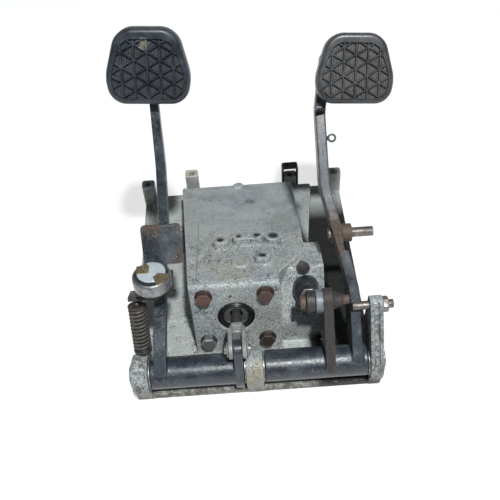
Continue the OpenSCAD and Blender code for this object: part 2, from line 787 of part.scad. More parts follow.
// Bellows from the sloping face to the rod, in three folds
module brake_boot() color("black") on_brake_rod() translate([0, 0, slope_face_d]) mirror([0, 0, 1]) {
    r = boot_d / 2;
    lip = push_d / 2 + 0.4;
    rotate_extrude() polygon([
        [guide_bore / 2, 0], [r, 0], [r, 4], [r - 2, 6], [r - 1, 9], [r - 4, 12], [r - 3, 15], [r - 6, 19],
        [lip + 1.6, boot_len], [lip, boot_len], [lip, boot_len - 3], [r - 8, 17], [r - 3, 4], [r - 3, 2],
        [guide_bore / 2, 2]
    ]);
}

module brake_guide() color("ivory") on_brake_rod() translate([0, 0, slope_face_d])
    ring(guide_bore + 2 * guide_wall, guide_bore, wall_t + 2);

module blanking_plug() color("dimgray") on_brake_rod() translate([plug_at.x, plug_at.y, slope_face_d]) {
    translate([0, 0, -1.5]) cylinder(d = plug_hole_d + 4, h = 1.5);
    translate([0, 0, -3]) cylinder(d = plug_hole_d - 2, h = 2);
    cylinder(d = plug_hole_d, h = wall_t);
}

module stop_pin() color("lightgray")
    xbar(stop_d, [brake_foot_x - brake_arm_w / 2 + 1, ear_right_out + 10], stop_y, stop_h);

module stop_nut() color("gray") translate([ear_right_out, stop_y, stop_h]) rotate([0, 90, 0]) difference() {
    hex(13, 5);
    translate([0, 0, -eps]) cylinder(d = stop_d, h = 6);
}

// Steel loop clipped over the right inner lug
module lug_clip() color("dimgray") translate([lug_inner, lug_y, lug_h - 16]) rotate([90, 0, 0])
    translate([0, 0, -5]) linear_extrude(10) difference() {
        polygon(slab([-lug_w / 2 - 2, 0], [lug_w / 2 + 2, 30], 3));
        polygon(slab([-lug_w / 2, -5], [lug_w / 2, 27.5], 1.5));
    }

// Ball stud in the left ear, under the helper spring
module spring_ball() color("silver") turned(spring_mid) rotate([-90, 0, 0]) translate([spring_x, 0, 0]) {
    translate([0, 0, spring_low_r]) sphere(d = seat_ball_d);
    translate([0, 0, shaft_d / 2 + 2]) cylinder(d = stem_d, h = spring_low_r - shaft_d / 2 - 3);
}

module pedal_tube(x) difference() {
    xbar(tube_d, x, 0, pivot_z);
    xbar(bush_d, [x.x - eps, x.y + eps], 0, pivot_z);
}

module tube_bushes(x) for (from = [x.x, x.y - bush_len])
    translate([from, 0, pivot_z]) rotate([0, 90, 0]) ring(bush_d, shaft_d + 2 * run_gap, bush_len);

module clutch_tube() color("black") pedal_tube(clutch_tube_x);

module clutch_bushes() color("tan") tube_bushes(clutch_tube_x);

// Bar with front outline in X and Y and side outline in Y and Z, coped to the tube
module pedal_bar(front, profile) difference() {
    intersection() {
        translate([0, 0, -far]) linear_extrude(2 * far) polygon(front);
        side([-base_w, base_w], profile);
    }
    xbar(tube_d, [-base_w, base_w]);
}

// Lower bar from the tube to the back of the bracket plate
module bar_solid() {
    top_x = (bracket_left + bracket_right) / 2 - 3;
    w = bar_w / 2;
    neck_r = hub_rise + 10;
    pedal_bar(rounded([
        [bar_foot_x - w, bar_end_r], [bar_foot_x + w, bar_end_r], [bar_foot_x + w + 2, neck_r],
        [top_x + w, bar_top_r], [top_x - w, bar_top_r], [bar_foot_x - w + 2, neck_r]
    ], [5, 5, 20, 1, 1, 20]), rounded([
        [0, 0], [hub_rise - 4, 0], [bar_lean_r, arm_back], [bar_top_r + 6, arm_back],
        [bar_top_r + 6, arm_front], [bar_lean_r, arm_front], [hub_rise, foot_front], [0, foot_front]
    ], [1, bend_r, bend_r, 1, 1, bend_r, bend_r, 1]));
}

module clutch_bar() color("black") turned(clutch_angle) bar_solid();

module clutch_bracket() color("black") turned(clutch_angle) translate([0, 0, arm_front])
    linear_extrude(bracket_t) difference() {
        polygon(slab([bracket_left, bracket_r], [bracket_right, bracket_r + bracket_h], 3));
        translate([bracket_left + 14, bracket_r + bracket_h - 7]) circle(d = 5);
    }

// Frame of a pad: Y up the pad, Z towards the driver from the back of its plate
module on_pad(angle, x, r) turned(angle) translate([x, r, pad_front]) rotate([pad_lean, 0, 0])
    rotate(-pad_turn) children();

// Outline of a pad, grown by grow and lowered at its top by brow: widest low down, narrower at the top
function pad_outline(grow, brow = 0) =
    let (b = pad_w / 2 + grow, h = pad_h / 2 + grow, r = pad_r + grow, low = -h / 4)
    let (t = pad_top_w / 2 + grow + (pad_w - pad_top_w) / 2 * brow / (h - low))
    rounded([[-b + 3, -h], [b - 3, -h], [b, low], [t, h - brow], [-t, h - brow], [-b, low]],
        [r, r, pad_belly, r, r, pad_belly]);

// Space in front of a pad's plate, which an arm must leave free
module pad_clear() translate([-base_w, -pad_h / 2 - 4.5, 0]) cube([2 * base_w, 2 * pad_h, far]);

module clutch_arm() color("black") difference() {
    w = arm_w / 2;
    top = clutch_pad_r + 14;
    low = clutch_pad_r - pad_h / 2 - 4;
    turned(clutch_angle) pedal_bar(rounded([
        [arm_x - w - 3, bar_top_r], [arm_x + w - 3, bar_top_r], [arm_x + w + 1, arm_mid_r],
        [clutch_pad_x + w - 1, top], [clutch_pad_x - w + 1, top], [arm_x - w + 1, arm_mid_r]
    ], [1, 1, 3 * bend_r, 3, 3, 3 * bend_r]), rounded([
        [bar_top_r, arm_back], [arm_mid_r, arm_back + 3], [top, arm_back + 6], [top, pad_h / 2],
        [low, pad_h / 2], [low, arm_front], [bar_top_r, arm_front]
    ], [1, 3 * bend_r, 1, 1, 1, 1, 1]));
    on_pad(clutch_angle, clutch_pad_x, clutch_pad_r) pad_clear();
}

module pad_plate() linear_extrude(pad_plate_t) polygon(pad_outline(-pad_border));

// Rubber pad that grips its plate, with a tread of triangles inside a plain border
module pad_rubber() difference() {
    union() {
        linear_extrude(pad_plate_t + pad_t - tread_h) polygon(pad_outline(0));
        translate([0, 0, pad_plate_t + pad_t - tread_h - 0.1]) linear_extrude(tread_h + 0.1) {
            difference() {
                polygon(pad_outline(0));
                polygon(pad_outline(-pad_border, pad_brow));
            }
            intersection() {
                polygon(pad_outline(-pad_border + 0.2, pad_brow));
                for (turn = [0, 60, 120], i = [-4:4])
                    rotate(turn) translate([i * tread_side * cos(30) - tread_w / 2, -pad_w])
                        square([tread_w, 2 * pad_w]);
            }
        }
    }
    translate([0, 0, -eps]) linear_extrude(pad_plate_t + eps) polygon(pad_outline(-pad_border));
}

module clutch_pad_plate() color("dimgray") on_pad(clutch_angle, clutch_pad_x, clutch_pad_r) pad_plate();

module clutch_pad() color("darkslategray") on_pad(clutch_angle, clutch_pad_x, clutch_pad_r) pad_rubber();

module clutch_lever() color("black") turned(clutch_lever_angle) difference() {
    translate([lever_x.x, 0, 0]) rotate([90, 0, 90]) linear_extrude(lever_t) link(hub_r, eye_r, clutch_pin_r);
    xbar(tube_d, [-base_w, base_w]);
    xbar(clutch_pin_d, [-base_w, base_w], clutch_pin_r);
}

module clutch_pin() color("silver") turned(clutch_lever_angle)
    xbar(clutch_pin_d, [rod_x - clevis_w / 2 - 4, rod_x + clevis_w / 2 + 4], clutch_pin_r);

module clutch_pin_clips() color("silver") turned(clutch_lever_angle)
    for (x = [rod_x - clevis_w / 2 - side_gap - clip_t, rod_x + clevis_w / 2 + side_gap])
        translate([x, clutch_pin_r, 0]) rotate([0, 90, 0]) ring(14, clutch_pin_d, clip_t);

// Arm on the lower bar that carries the upper ball of the helper spring
module spring_arm() color("dimgray") turned(clutch_angle) {
    ball = spring_top_r * [cos(2), sin(2)];
    top = ball.x + seat_ball_d / 2 + 2;
    difference() {
        side([spring_x - 6, bar_foot_x + 6], slab([top, -9], [top + 4, ball.y + 8], 1));
        bar_solid();
    }
    translate([spring_x, ball.x, ball.y]) sphere(d = seat_ball_d);
    translate([spring_x, ball.x, ball.y]) rotate([-90, 0, 0])
        cylinder(d = stem_d - 1, h = seat_ball_d / 2 + 3);
}

module switch_bracket() color("dimgray") intersection() {
    on_switch() translate([0, 0, -switch_base_t]) linear_extrude(switch_base_t) {
        circle(d = switch_d - 6);
        translate([switch_d / 4 - 8, 0]) square([16, switch_d]);
    }
    turned(clutch_angle) translate([-base_w, 0, arm_front]) cube([2 * base_w, 2 * bracket_r, far]);
}

module switch_can() color("gainsboro") on_switch() difference() {
    rotate_extrude() polygon(concat(
        [[0, 0], [switch_d / 2 - 2, 0], [switch_d / 2, 2], [switch_d / 2, switch_h - 3]],
        [for (a = [0:15:90]) [switch_d / 2 - 3 + 3 * cos(a), switch_h - 3 + 3 * sin(a)]], [[0, switch_h]]));
    translate([0, 0, switch_h - 2]) cylinder(d = switch_recess_d, h = 3);
}

module switch_seal() color("black") on_switch() translate([0, 0, switch_h - 2])
    ring(switch_recess_d, seal_bore, seal_t);

// Disc that lies on the seal, set up so that the seal shows below it
module switch_disc() color("lightsteelblue") on_switch() {
    translate([0, 0, switch_h - 2]) cylinder(d = seal_bore, h = seal_t + disc_t);
    translate([0, disc_set, disc_top - disc_t]) cylinder(d = disc_d, h = disc_t);
}

// Two terminal blades on the disc: a folded tab and a flat sector that reaches over the rim
module switch_blades() color("peru") on_switch() translate([0, 0, disc_top]) {
    outer = switch_d / 2 - 0.5;
    translate([-2 - tab_l, 0, 0]) cube([tab_l, tab_w, blade_t]);
    translate([-2 - blade_t, 0, 0]) rotate([0, -35, 0]) cube([blade_t, tab_w, tab_w - 3]);
    linear_extrude(blade_t) polygon(concat(
        [for (a = [-10:-10:-70]) outer * [cos(a), sin(a)]],
        [for (a = [-70:10:-10]) outer / 3 * [cos(a), sin(a)]]));
}

module clutch_clevis() color("silver") on_rod() {
    for (x = [-lever_t / 2 - side_gap - cheek_t, lever_t / 2 + side_gap])
        difference() {
            translate([x, 0, 0]) rotate([0, 90, 0]) linear_extrude(cheek_t) {
                circle(eye_r);
                translate([-clevis_end + 4, -eye_r]) square([clevis_end - 4, 2 * eye_r]);
            }
            xbar(clutch_pin_d + 2 * run_gap, [-base_w, base_w]);
        }
    translate([-lever_t / 2 - side_gap - eps, -eye_r + 2, clevis_s])
        cube([lever_t + 2 * side_gap + 2 * eps, 2 * eye_r - 4, 3]);
    translate([0, 0, clevis_s + 1]) cylinder(d = 15, h = clevis_end - clevis_s - 1);
}

module clutch_locknut() color("gray") on_rod() translate([0, 0, clevis_end]) difference() {
    hex(nut_af, locknut_t);
    translate([0, 0, -eps]) cylinder(d = push_d, h = locknut_t + 2 * eps);
}

module clutch_pushrod() color("silver") on_rod() {
    translate([0, 0, clevis_end]) cylinder(d = push_d, h = push_len - clevis_end);
    translate([0, 0, push_len]) sphere(d = ball_d);
}

module clutch_piston() color("silver") on_cylinder() difference() {
    translate([0, 0, piston_s]) cylinder(d = bore_d - 2 * run_gap, h = piston_len);
    translate([0, 0, ball_s]) sphere(d = ball_d + 2 * cup_gap);
    translate([0, 0, piston_s - eps]) cylinder(d = ball_d + 2 * cup_gap, h = ball_s - piston_s + eps);
    for (s = [9, 16])
        translate([0, 0, piston_s + s]) ring(bore_d + 2, bore_d - 5, 3);
}

module piston_seals() color("black") on_cylinder() for (s = [9, 16])
    translate([0, 0, piston_s + s]) ring(bore_d - 2 * run_gap, bore_d - 5, 3);

// Seat at one end of the helper spring: a flange under the coil and a plug inside it
module spring_seat() {
    translate([0, 0, 0.5]) cylinder(d = coil_d, h = seat_t);
    translate([0, 0, 0.5]) cylinder(d = plug_d, h = seat_t + plug_len);
}

// Lower seat, with the guide pin that keeps the coil from buckling
module spring_lower_cup() color("dimgray") on_spring() difference() {
    union() {
        spring_seat();
        translate([0, 0, seat_t + plug_len])
            cylinder(d = guide_d, h = spring_len - 2 * (seat_t + plug_len) - 1);
    }
    sphere(d = seat_ball_d + 2 * seat_gap);
}

module spring_upper_cup() color("dimgray") on_spring() translate([0, 0, spring_len]) mirror([0, 0, 1])
    difference() {
        spring_seat();
        sphere(d = seat_ball_d + 2 * top_seat_gap);
    }

module helper_spring() color("saddlebrown") on_spring() coil(coil_d, coil_wire, coil_turns, coil_s);

module brake_tube() color("black") pedal_tube(brake_tube_x);

module brake_bushes() color("tan") tube_bushes(brake_tube_x);

module brake_lever() color("saddlebrown") turned(brake_lever_angle) difference() {
    half = lever_end_d / 2;
    union() {
        pedal_bar(slab([brake_lever_x, lever_end_r], [boss_x, lever_tip_r], [4, 4, 1, 1]), rounded([
            [-tube_d / 2 + 3, 0], [hub_rise - 4, 1 - half], [brake_pin_r, -half], [lever_tip_r, -half],
            [lever_tip_r, half], [brake_pin_r, half], [hub_rise, foot_front], [-tube_d / 2 + 3, foot_front]
        ], [1, bend_r, 20, half - 0.1, half - 0.1, 20, bend_r, 1]));
        translate([boss_x - eps, brake_pin_r, 0]) rotate([0, 90, 0])
            cylinder(d1 = cone_d, d2 = brake_pin_d + 3, h = cone_len + eps);
    }
    xbar(brake_pin_d, [-base_w, base_w], brake_pin_r);
}

module brake_pin() color("sienna") turned(brake_lever_angle) {
    xbar(brake_pin_d, [brake_rod_x - eye_t / 2 - side_gap, stub_end], brake_pin_r);
    xbar(brake_pin_d + 5,
        [brake_rod_x - eye_t / 2 - side_gap - 5, brake_rod_x - eye_t / 2 - side_gap], brake_pin_r);
}

module brake_pin_washer() color("silver") turned(brake_lever_angle)
    translate([brake_rod_x + eye_t / 2 + side_gap, brake_pin_r, 0]) rotate([0, 90, 0])
        ring(washer_d, brake_pin_d, brake_lever_x - brake_rod_x - eye_t / 2 - side_gap);

// Brake arm: cranked towards the middle above its foot, with a boss for the stud
module brake_arm() color("black") difference() {
    w = brake_arm_w / 2;
    top = brake_pad_r + 16;
    low = brake_pad_r - pad_h / 2 - 4;
    union() {
        turned(brake_angle) pedal_bar(rounded([
            [brake_foot_x - w, brake_arm_end_r], [brake_foot_x + w, brake_arm_end_r],
            [brake_foot_x + w, crank_r], [brake_stud_x + w, stud_r + 3], [brake_top_x + w, crank_top_r],
            [brake_top_x + w, pad_foot_r], [brake_top_x + w + 14, top], [brake_top_x - w + 8, top],
            [brake_top_x - w, pad_foot_r], [brake_top_x - w, crank_top_r], [brake_stud_x - w, stud_r + 3],
            [brake_foot_x - w, crank_r]
        ], [4, 4, foot_bend, crank_bend, crank_bend, crank_bend, 3,
            3, crank_bend, crank_bend, crank_bend, foot_bend]), rounded([
            [-tube_d / 2 + 1, 2], [10, -brake_depth], [stop_r, -brake_depth], [stud_r, 2 - brake_depth],
            [crank_top_r - 4, arm_back], [top, arm_back], [top, pad_h / 2], [low, pad_h / 2],
            [low, arm_front], [crank_top_r - 4, arm_front + 5], [stud_r, brake_depth - 3],
            [stop_r, brake_depth], [10, foot_front - 1], [-tube_d / 2 + 1, foot_front - 1]
        ], [1, 20, 40, 40, crank_bend, 1, 1, 1, 1, crank_bend, 40, 40, 20, 1]));
        turned(brake_angle) xbar(stud_boss_d, [brake_stud_x - w, brake_stud_x + w], stud_r);
    }
    on_pad(brake_angle, brake_pad_x, brake_pad_r) pad_clear();
    turned(brake_angle) xbar(stud_shank_d, [-base_w, base_w], stud_r);
    turned(brake_angle) xbar(2 * stud_boss_d, [brake_stud_x + w, brake_foot_x + 2 * w], stud_r);
}

module stud_collar() color("sienna") turned(brake_angle)
    translate([stud_x.y - stud_len - collar_t, stud_r, 0]) rotate([0, 90, 0])
        ring(stud_shank_d + 6, stud_shank_d, collar_t);

// Shouldered stud: its shank sits in the arm and the collar, its thinner end is free
module brake_stud() color("silver") turned(brake_angle) {
    xbar(stud_shank_d, [stud_x.x, stud_x.y - stud_len], stud_r);
    xbar(stud_d, [stud_x.y - stud_len - eps, stud_x.y], stud_r);
}

// Small eye on the right side of the brake arm
module brake_eyelet() color("gray") turned(brake_angle)
    translate([brake_top_x + brake_arm_w / 2, pad_foot_r - 27, 2]) difference() {
        union() {
            translate([4.5, 0, 0]) cylinder(d = 8, h = 2);
            translate([0, -2, 0]) cube([3, 4, 2]);
        }
        translate([4.5, 0, -eps]) cylinder(d = 4.5, h = 4);
    }

module brake_pad_plate() color("dimgray") on_pad(brake_angle, brake_pad_x, brake_pad_r) pad_plate();

module brake_pad() color("darkslategray") on_pad(brake_angle, brake_pad_x, brake_pad_r) pad_rubber();

module brake_rod_eye() color("dimgray") on_brake_rod() difference() {
    union() {
        translate([-eye_t / 2, 0, 0]) rotate([0, 90, 0]) cylinder(r = brake_eye_r, h = eye_t);
        cylinder(d = eye_t, h = brake_eye_r + 4);
    }
    xbar(brake_pin_d + 2 * run_gap, [-base_w, base_w]);
}

module brake_locknut() color("gray") on_brake_rod() translate([0, 0, brake_eye_r + 4]) difference() {
    hex(14, 2.5);
    translate([0, 0, -eps]) cylinder(d = push_d - 1, h = 4);
}

module brake_pushrod() color("silver") on_brake_rod() translate([0, 0, brake_eye_r + 4])
    cylinder(d = push_d - 1, h = slope_face_d + 12);

base_plate();
tower();
brake_lobe();
shaft_ears();
lugs();
roof_bosses();
pivot_shaft();
shaft_rings();
thrust_washers();
face_bolts();
clutch_cylinder();
cylinder_ring();
cylinder_boot();
cylinder_spring();
cylinder_union();
brake_boot();
brake_guide();
blanking_plug();
stop_pin();
stop_nut();
lug_clip();
spring_ball();
clutch_tube();
clutch_bushes();
clutch_bar();
clutch_bracket();
clutch_arm();
clutch_pad_plate();
clutch_pad();
clutch_lever();
clutch_pin();
clutch_pin_clips();
spring_arm();
switch_bracket();
switch_can();
switch_seal();
switch_disc();
switch_blades();
clutch_clevis();
clutch_locknut();
clutch_pushrod();
clutch_piston();
piston_seals();
spring_lower_cup();
helper_spring();
spring_upper_cup();
brake_tube();
brake_bushes();
brake_lever();
brake_arm();
stud_collar();
brake_stud();
brake_eyelet();
brake_pad_plate();
brake_pad();
brake_pin();
brake_pin_washer();
brake_rod_eye();
brake_locknut();
brake_pushrod();
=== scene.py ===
"""Pedal box on a pale floor: cast housing, clutch and brake pedals, push rods and rubber pads.

Metres, in the frame of the CAD part: X along the cross shaft, Y away from the driver, Z up.
"""

import json
from math import pi, radians

import bpy
from mathutils import Matrix, Vector

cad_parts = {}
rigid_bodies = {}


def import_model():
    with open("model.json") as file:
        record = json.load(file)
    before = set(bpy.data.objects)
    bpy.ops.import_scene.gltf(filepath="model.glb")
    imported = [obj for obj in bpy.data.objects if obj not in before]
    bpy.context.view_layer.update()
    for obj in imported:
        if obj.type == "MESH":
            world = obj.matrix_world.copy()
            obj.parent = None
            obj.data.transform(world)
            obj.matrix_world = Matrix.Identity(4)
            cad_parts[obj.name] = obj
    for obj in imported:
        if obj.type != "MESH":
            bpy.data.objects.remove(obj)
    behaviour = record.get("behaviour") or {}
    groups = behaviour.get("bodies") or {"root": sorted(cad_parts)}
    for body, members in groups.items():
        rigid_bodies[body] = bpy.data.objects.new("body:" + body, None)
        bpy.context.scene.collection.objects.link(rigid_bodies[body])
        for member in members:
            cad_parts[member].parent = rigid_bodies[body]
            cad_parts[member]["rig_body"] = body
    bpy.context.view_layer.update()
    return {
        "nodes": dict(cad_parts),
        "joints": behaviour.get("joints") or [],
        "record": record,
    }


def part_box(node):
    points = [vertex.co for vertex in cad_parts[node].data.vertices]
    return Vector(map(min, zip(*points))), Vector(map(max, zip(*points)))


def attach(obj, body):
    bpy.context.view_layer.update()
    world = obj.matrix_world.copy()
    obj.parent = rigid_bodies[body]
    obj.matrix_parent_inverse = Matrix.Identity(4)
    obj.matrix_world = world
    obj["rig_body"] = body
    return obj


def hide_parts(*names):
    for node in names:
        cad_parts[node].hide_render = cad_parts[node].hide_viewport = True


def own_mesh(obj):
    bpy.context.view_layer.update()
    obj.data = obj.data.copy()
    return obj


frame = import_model()
NODES = frame["nodes"]
JOINTS = {joint["name"]: joint for joint in frame["joints"]}
MM = 0.001

# Angles of the part's own frames, in degrees
CLUTCH_ANGLE = 59
BRAKE_ANGLE = 49
PAD_LEAN = 8
PAD_TURN = -4
ROD_SLOPE = 32
FACE_LEAN = 10
SPRING_LEAN = -23.93

# Outline of a rubber pad: half widths at the waist and the top, half height, and step in at the foot
PAD_WAIST_HALF = 34.5 * MM
PAD_TOP_HALF = 24 * MM
PAD_HALF_HEIGHT = 30 * MM
PAD_FOOT_STEP = 3 * MM
PAD_ROUNDING = [13 * MM, 13 * MM, 6 * MM] * 2

# Rim and sunk tread of a rubber pad
PAD_RIM = 4.2 * MM
PAD_BROW = 3.6 * MM
TREAD_DEPTH = 2.6 * MM
TREAD_MARGIN = 5.4 * MM
TREAD_ROUNDING = [8 * MM, 8 * MM, 4 * MM] * 2
RIDGE_PITCH, RIDGE_WIDTH, RIDGE_HEIGHT = 10.392 * MM, 2.6 * MM, 3.0 * MM
RIB_PITCH, RIB_WIDTH, RIB_HEIGHT = 2.078 * MM, 1.1 * MM, 1.3 * MM
BAR_CREST = 0.3
BAR_SINK = 0.4 * MM
CUT_CLEAR = 1 * MM
PAD_LIP = 0.5 * MM
TREAD_WALL = 0.6 * MM
PAD_SHOULDER = 8 * MM

# Height of a face's normal above which the face counts as upward, and as level
UPWARD = 0.9
LEVEL = 0.9999

# Camera fitted to the photograph
CAMERA_AT = (0.0045, -0.3482, 0.5794)
CAMERA_DOWN = 48
CAMERA_ROLL = -4
CAMERA_LENS = 48.96

# Lamps: place, width, power in watts and tint
LAMPS = (
    ("key", (0.6, -1.75, 4.03), 0.24, 198, (0.96, 0.99, 1.0)),
    ("fill", (-1.2, -0.9, 1.2), 1.4, 2, (0.93, 0.97, 1.0)),
)
LAMPS_AIM = (0, 0.1, 0.08)
WORLD_COLOUR = (0.9, 0.96, 1.0, 1)
WORLD_STRENGTH = 0.09
FLOOR_GLOW = 0.7


# Modelling

def activate(piece):
    """Select one piece alone, in object mode."""
    if bpy.context.object and bpy.context.object.mode != "OBJECT":
        bpy.ops.object.mode_set(mode="OBJECT")
    bpy.ops.object.select_all(action="DESELECT")
    piece.select_set(True)
    bpy.context.view_layer.objects.active = piece


def edit(piece):
    """Open one piece in edit mode with all of its vertices selected."""
    activate(piece)
    bpy.ops.object.mode_set(mode="EDIT")
    bpy.ops.mesh.select_mode(type="VERT")
    bpy.ops.mesh.select_all(action="SELECT")


def select_where(piece, kind, test):
    """In edit mode, select the vertices or faces that pass the test."""
    bpy.ops.mesh.select_mode(type=kind)
    bpy.ops.mesh.select_all(action="DESELECT")
    bpy.ops.object.mode_set(mode="OBJECT")
    for part in piece.data.polygons if kind == "FACE" else piece.data.vertices:
        part.select = test(part)
    bpy.ops.object.mode_set(mode="EDIT")


def modify(piece, kind, **settings):
    """Add a modifier and apply it."""
    activate(piece)
    modifier = piece.modifiers.new(kind.title(), kind)
    for key, value in settings.items():
        setattr(modifier, key, value)
    bpy.ops.object.modifier_apply(modifier=modifier.name)


def face_outwards():
    """In edit mode, point all faces outwards, and go back to object mode."""
    bpy.ops.mesh.select_all(action="SELECT")
    bpy.ops.mesh.normals_make_consistent(inside=False)
    bpy.ops.object.mode_set(mode="OBJECT")


def ring(name, sides, fill="NOTHING", **settings):
    """A new circle, alone in the selection."""
    bpy.ops.object.select_all(action="DESELECT")
    bpy.ops.mesh.primitive_circle_add(vertices=sides, fill_type=fill, **settings)
    piece = bpy.context.object
    piece.name = name
    return piece


def copy_of(node, name):
    """A merged copy of a CAD node's mesh."""
    piece = bpy.data.objects.new(name, NODES[node].data.copy())
    bpy.context.scene.collection.objects.link(piece)
    piece.data.materials.clear()
    edit(piece)
    bpy.ops.mesh.remove_doubles(threshold=0.002 * MM)
    bpy.ops.mesh.customdata_custom_splitnormals_clear()
    face_outwards()
    return piece


def join(pieces, name):
    """Join pieces into the first one."""
    activate(pieces[0])
    for piece in pieces[1:]:
        piece.select_set(True)
    bpy.ops.object.join()
    pieces[0].name = name
    return pieces[0]


def smooth(piece, angle):
    """Shade a piece smooth, apart from edges sharper than an angle."""
    activate(piece)
    bpy.ops.object.shade_smooth_by_angle(angle=radians(angle))


def softened(node, width):
    """A copy of a machined node with small rounded edges."""
    piece = copy_of(node, node + "_soft")
    edit(piece)
    bpy.ops.mesh.dissolve_limited(angle_limit=radians(1))
    bpy.ops.object.mode_set(mode="OBJECT")
    modify(piece, "BEVEL", width=width, segments=3, limit_method="ANGLE", angle_limit=radians(28),
           harden_normals=False, use_clamp_overlap=True)
    smooth(piece, angle=35)
    return piece


def forged(nodes, name, voxel, rounds, share):
    """Copies of forged, welded or cast nodes run together, with soft edges."""
    piece = join([copy_of(node, node + "_raw") for node in nodes], name)
    modify(piece, "REMESH", mode="VOXEL", voxel_size=voxel, use_smooth_shade=True)
    modify(piece, "SMOOTH", factor=0.5, iterations=rounds)
    modify(piece, "DECIMATE", ratio=share)
    activate(piece)
    bpy.ops.object.shade_smooth()
    return piece


def leaning_box(node, lean, spin=0):
    """A frame turned about X and spun, at the back centre of a node's box in it, and the box's size."""
    turn = Matrix.Rotation(radians(lean), 4, "X") @ Matrix.Rotation(radians(spin), 4, "Z")
    points = [turn.inverted() @ v.co for v in NODES[node].data.vertices]
    low = Vector(map(min, zip(*points)))
    high = Vector(map(max, zip(*points)))
    middle = (low + high) / 2
    return turn @ Matrix.Translation((middle.x, middle.y, low.z)), high - low


def outline_block(name, points, radii, low, high):
    """A block from an outline with rounded corners, between two heights."""
    piece = ring(name, len(points), fill="NGON")
    for vertex, (x, y) in zip(piece.data.vertices, points):
        vertex.co = (x, y, low)
    edit(piece)
    for (x, y), radius in zip(points, radii):
        select_where(piece, "VERT", lambda v: (v.co - Vector((x, y, low))).length < 0.01 * MM)
        bpy.ops.mesh.bevel(affect="VERTICES", offset=radius, segments=7)
    bpy.ops.mesh.select_all(action="SELECT")
    bpy.ops.mesh.extrude_region_move(TRANSFORM_OT_translate={"value": (0, 0, high - low)})
    face_outwards()
    return piece


def pad_points(grow=0.0, brow=0.0):
    """Corners of a pad's outline, grown by grow and lowered at the top by brow."""
    waist, top, tall = PAD_WAIST_HALF + grow, PAD_TOP_HALF + grow, PAD_HALF_HEIGHT + grow
    foot = waist - PAD_FOOT_STEP
    top += (PAD_WAIST_HALF - PAD_TOP_HALF) * brow / (1.25 * tall)
    return [(-foot, -tall), (foot, -tall), (waist, -tall / 4),
            (top, tall - brow), (-top, tall - brow), (-waist, -tall / 4)]


def tread_bars(length):
    """Bars of the tread: three crossing rows of ridges, and fine ribs between them."""
    bars = []
    rows = [(turn, i * RIDGE_PITCH, RIDGE_WIDTH, RIDGE_HEIGHT)
            for turn in (0, 60, 120) for i in range(-4, 5)]
    rows += [(0, i * RIB_PITCH, RIB_WIDTH, RIB_HEIGHT) for i in range(-15, 16) if i % 5]
    for turn, place, wide, tall in rows:
        bpy.ops.object.select_all(action="DESELECT")
        bpy.ops.mesh.primitive_cube_add(size=1)
        bar = bpy.context.object
        bar.data.transform(Matrix.Diagonal((wide, length, tall, 1)))
        edit(bar)
        select_where(bar, "FACE", lambda f: f.normal.z > UPWARD)
        bpy.ops.transform.resize(value=(BAR_CREST, 1, 1))
        bpy.ops.object.mode_set(mode="OBJECT")
        bar.data.transform(Matrix.Rotation(radians(turn), 4, "Z") @ Matrix.Translation((place, 0, tall / 2)))
        bars.append(bar)
    return join(bars, "tread_bars")


def rubber_pad(name, node, angle):
    """Moulded pad: rounded rim, plain brow and a sunk tread of triangles."""
    place, size = leaning_box(node, angle + PAD_LEAN, PAD_TURN)
    bed = size.z - TREAD_DEPTH
    piece = outline_block(name, pad_points(), PAD_ROUNDING, 0, size.z)
    edit(piece)
    select_where(piece, "FACE", lambda f: f.normal.z > UPWARD)
    bpy.ops.mesh.region_to_loop()
    bpy.ops.mesh.bevel(affect="EDGES", offset=PAD_RIM, segments=6, profile=0.5)
    select_where(piece, "FACE", lambda f: f.normal.z > LEVEL)
    bpy.ops.mesh.inset(thickness=PAD_LIP, depth=0)
    bpy.ops.object.mode_set(mode="OBJECT")
    face = set(next(f for f in piece.data.polygons if f.select).vertices)
    edit(piece)
    select_where(piece, "VERT", lambda v: v.index in face and v.co.y > PAD_SHOULDER)
    bpy.ops.transform.translate(value=(0, -PAD_BROW, 0))
    select_where(piece, "FACE", lambda f: set(f.vertices) == face)
    bpy.ops.mesh.inset(thickness=TREAD_WALL, depth=-TREAD_DEPTH)
    bpy.ops.object.mode_set(mode="OBJECT")
    smooth(piece, angle=50)

    bars = tread_bars(2 * size.x)
    bars.data.transform(Matrix.Translation((0, 0, bed - BAR_SINK)))
    inner = pad_points(-TREAD_MARGIN, PAD_BROW)
    cutter = outline_block("tread_outline", inner, TREAD_ROUNDING, bed - CUT_CLEAR, size.z + CUT_CLEAR)
    modify(bars, "BOOLEAN", operation="INTERSECT", object=cutter, solver="EXACT", use_self=True)
    bpy.data.objects.remove(cutter)
    smooth(bars, angle=20)
    piece = join([piece, bars], name)
    piece.data.transform(place)
    return piece


def turned_piece(name, profile, steps, levels):
    """A round piece about Z from a closed profile of radius and height in millimetres."""
    piece = ring(name, len(profile))
    for vertex, (r, z) in zip(piece.data.vertices, profile):
        vertex.co = (r * MM, 0, z * MM)
    modify(piece, "SCREW", axis="Z", angle=2 * pi, steps=steps, render_steps=steps,
           use_merge_vertices=True, merge_threshold=0.001 * MM)
    edit(piece)
    face_outwards()
    modify(piece, "SUBSURF", levels=levels, render_levels=levels)
    smooth(piece, angle=40)
    return piece


